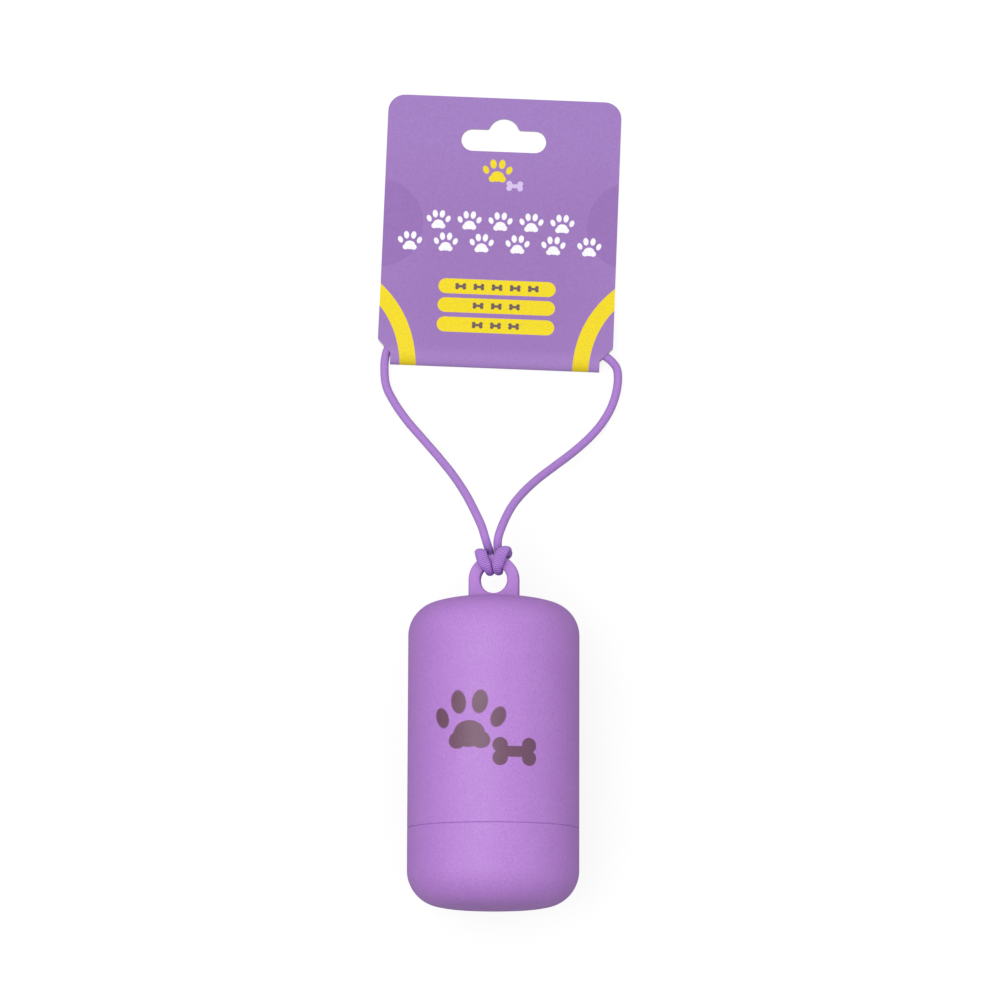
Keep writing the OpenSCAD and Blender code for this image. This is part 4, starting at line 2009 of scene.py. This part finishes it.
    def declare(
        self,
        piece: Piece,
        route: Route,
        nodes: tuple[str, ...],
        bodies: tuple[Body, Body],
    ) -> None:
        """Makes a stretch a free cord that bends between two bodies.

        Args:
            piece: The stretch.
            route: Its centre line.
            nodes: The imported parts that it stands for.
            bodies: The bodies that it joins.
        """
        path = [p * MM for p in route.places]
        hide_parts(*nodes)
        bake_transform(piece)
        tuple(path[0])
        route.length() * MM
        report_piece(piece, *bodies)
        LOG.info("%s is %.1f mm long", piece.name, route.length())

    def build(self) -> tuple[Piece, Piece]:
        """Builds both stretches of the cord.

        Returns:
            The upper stretch and the lower one.
        """
        legs = ("cord_leg_left", "cord_leg_right")
        upper = Route(self.upper_points(), self.step).run()
        hitched = self.tube("cord_upper", upper, True)
        start, end = (Vector((0.0, y, 0.0)) for y in self.lug_bend)
        self.declare(hitched, upper, ("cord_hitch", *legs), (Body.DISPENSER, Body.LEGS))
        lower = Route(self.lower_points(), self.step).run()
        folded = self.tube("cord_lower", lower, False)
        start, end = (self.card.lay() @ Vector((0.0, y, 0.0)) for y in self.card_bend)
        self.declare(folded, lower, ("cord_run", *legs), (Body.LEGS, Body.CARD))
        return hitched, folded


# -------------------------------------------------------------------- studio


@dataclass
class Studio:
    """Pale floor, soft overhead light, and the camera.

    Attributes:
        key_at: Place of the overhead light.
        key_aim: Place that it points at.
        sky_low: Strength of the sky at the horizon.
        sky_lean: How much stronger it is there towards the back.
        sky_high: Strength overhead.
        sky_curve: Power of the height with which it rises.
        floor_sink: How far the floor lies below the surface, in metres.
    """

    lens: float = 172.8
    sensor: float = 36.0
    nearest: float = 0.01
    camera_at: Triple = (0.00026, -0.1862, 1.2473)
    camera_tilt: float = 8.5
    camera_roll: float = 0.19
    key_at: Triple = (-0.42, -0.1, 1.16)
    key_aim: Triple = (0.0, -0.01, 0.0)
    key_size: float = 0.9
    key_power: float = 4.85
    sky_low: float = 0.4
    sky_lean: float = 0.4
    sky_high: float = 0.95
    sky_curve: float = 0.5
    floor_size: float = 6.0
    floor_sink: float = 0.00002

    def build(self) -> None:
        """Sets the studio up."""
        scene = bpy.context.scene
        scene.view_settings.view_transform = "Standard"
        camera = bpy.data.objects.new("camera", bpy.data.cameras.new("camera"))
        camera.data.lens = self.lens
        camera.data.sensor_width = self.sensor
        camera.data.clip_start = self.nearest
        turn = rotated(self.camera_tilt, "X") @ rotated(self.camera_roll, "Z")
        camera.matrix_world = Matrix.Translation(self.camera_at) @ turn
        scene.collection.objects.link(camera)
        scene.camera = camera
        self.add_light(scene)
        self.add_sky(scene)
        self.add_floor(scene)

    def add_light(self, scene: bpy.types.Scene) -> None:
        """Adds the overhead light.

        Args:
            scene: The scene.
        """
        lamp = bpy.data.lights.new("key", "AREA")
        lamp.shape = "DISK"
        lamp.size = self.key_size
        lamp.energy = self.key_power
        key = bpy.data.objects.new("key", lamp)
        aim = (Vector(self.key_aim) - Vector(self.key_at)).to_track_quat("-Z", "Y")
        key.matrix_world = Matrix.Translation(self.key_at) @ aim.to_matrix().to_4x4()
        key.visible_camera = False
        scene.collection.objects.link(key)

    def add_sky(self, scene: bpy.types.Scene) -> None:
        """Adds a sky that dims towards the horizon and the front, and that is seen as plain white.

        Args:
            scene: The scene.
        """
        world = bpy.data.worlds.new("sky")
        g = Graph(world)
        _, back, height = g.parts(g.add("ShaderNodeTexCoord").outputs["Generated"])
        low = g.calc("MULTIPLY_ADD", back, self.sky_lean, self.sky_low)
        rise = g.calc("POWER", g.both(height, 0.0), self.sky_curve)
        strength = g.calc("MULTIPLY_ADD", rise, g.calc("SUBTRACT", self.sky_high, low), low)
        dome = g.add("ShaderNodeBackground", {"Color": WHITE, "Strength": strength})
        plain = g.add("ShaderNodeBackground", {"Color": WHITE})
        direct = g.background_rays(GLOSSY_SHARE)
        shown = g.add("ShaderNodeMixShader", {0: direct, 1: dome.outputs[0], 2: plain.outputs[0]})
        g.add("ShaderNodeOutputWorld", {0: shown.outputs[0]})
        scene.world = world

    def add_floor(self, scene: bpy.types.Scene) -> None:
        """Adds the floor.

        Args:
            scene: The scene.
        """
        bm = bmesh.new()
        bmesh.ops.create_grid(bm, x_segments=1, y_segments=1, size=self.floor_size / 2)
        bmesh.ops.translate(bm, verts=bm.verts, vec=(0, 0, -self.floor_sink))
        mesh = bpy.data.meshes.new("floor")
        bm.to_mesh(mesh)
        bm.free()
        mesh.materials.append(PaleFloor().build())
        floor = bpy.data.objects.new("floor", mesh)
        scene.collection.objects.link(floor)


def main() -> None:
    """Builds the studio and every piece."""
    logging.basicConfig(level=logging.INFO, format="%(message)s")
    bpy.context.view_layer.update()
    Studio().build()
    capsule = Capsule()
    card = HeaderCard(PrintedBoard().build(), PlainBoard().build())
    ElasticCord(capsule, card, BraidedElastic().build()).build()
    printed = SoftSilicone("soft_silicone_printed", paw_size=19.5).build()
    UpperShell(capsule, printed).build()
    LowerCup(capsule, SoftSilicone().build()).build()
    roll = BagRoll(capsule, WoundFilm().build())
    roll.build()
    RollCore(roll, CoreBoard().build()).build()
    card.build()


if __name__ == "__main__":
    main()
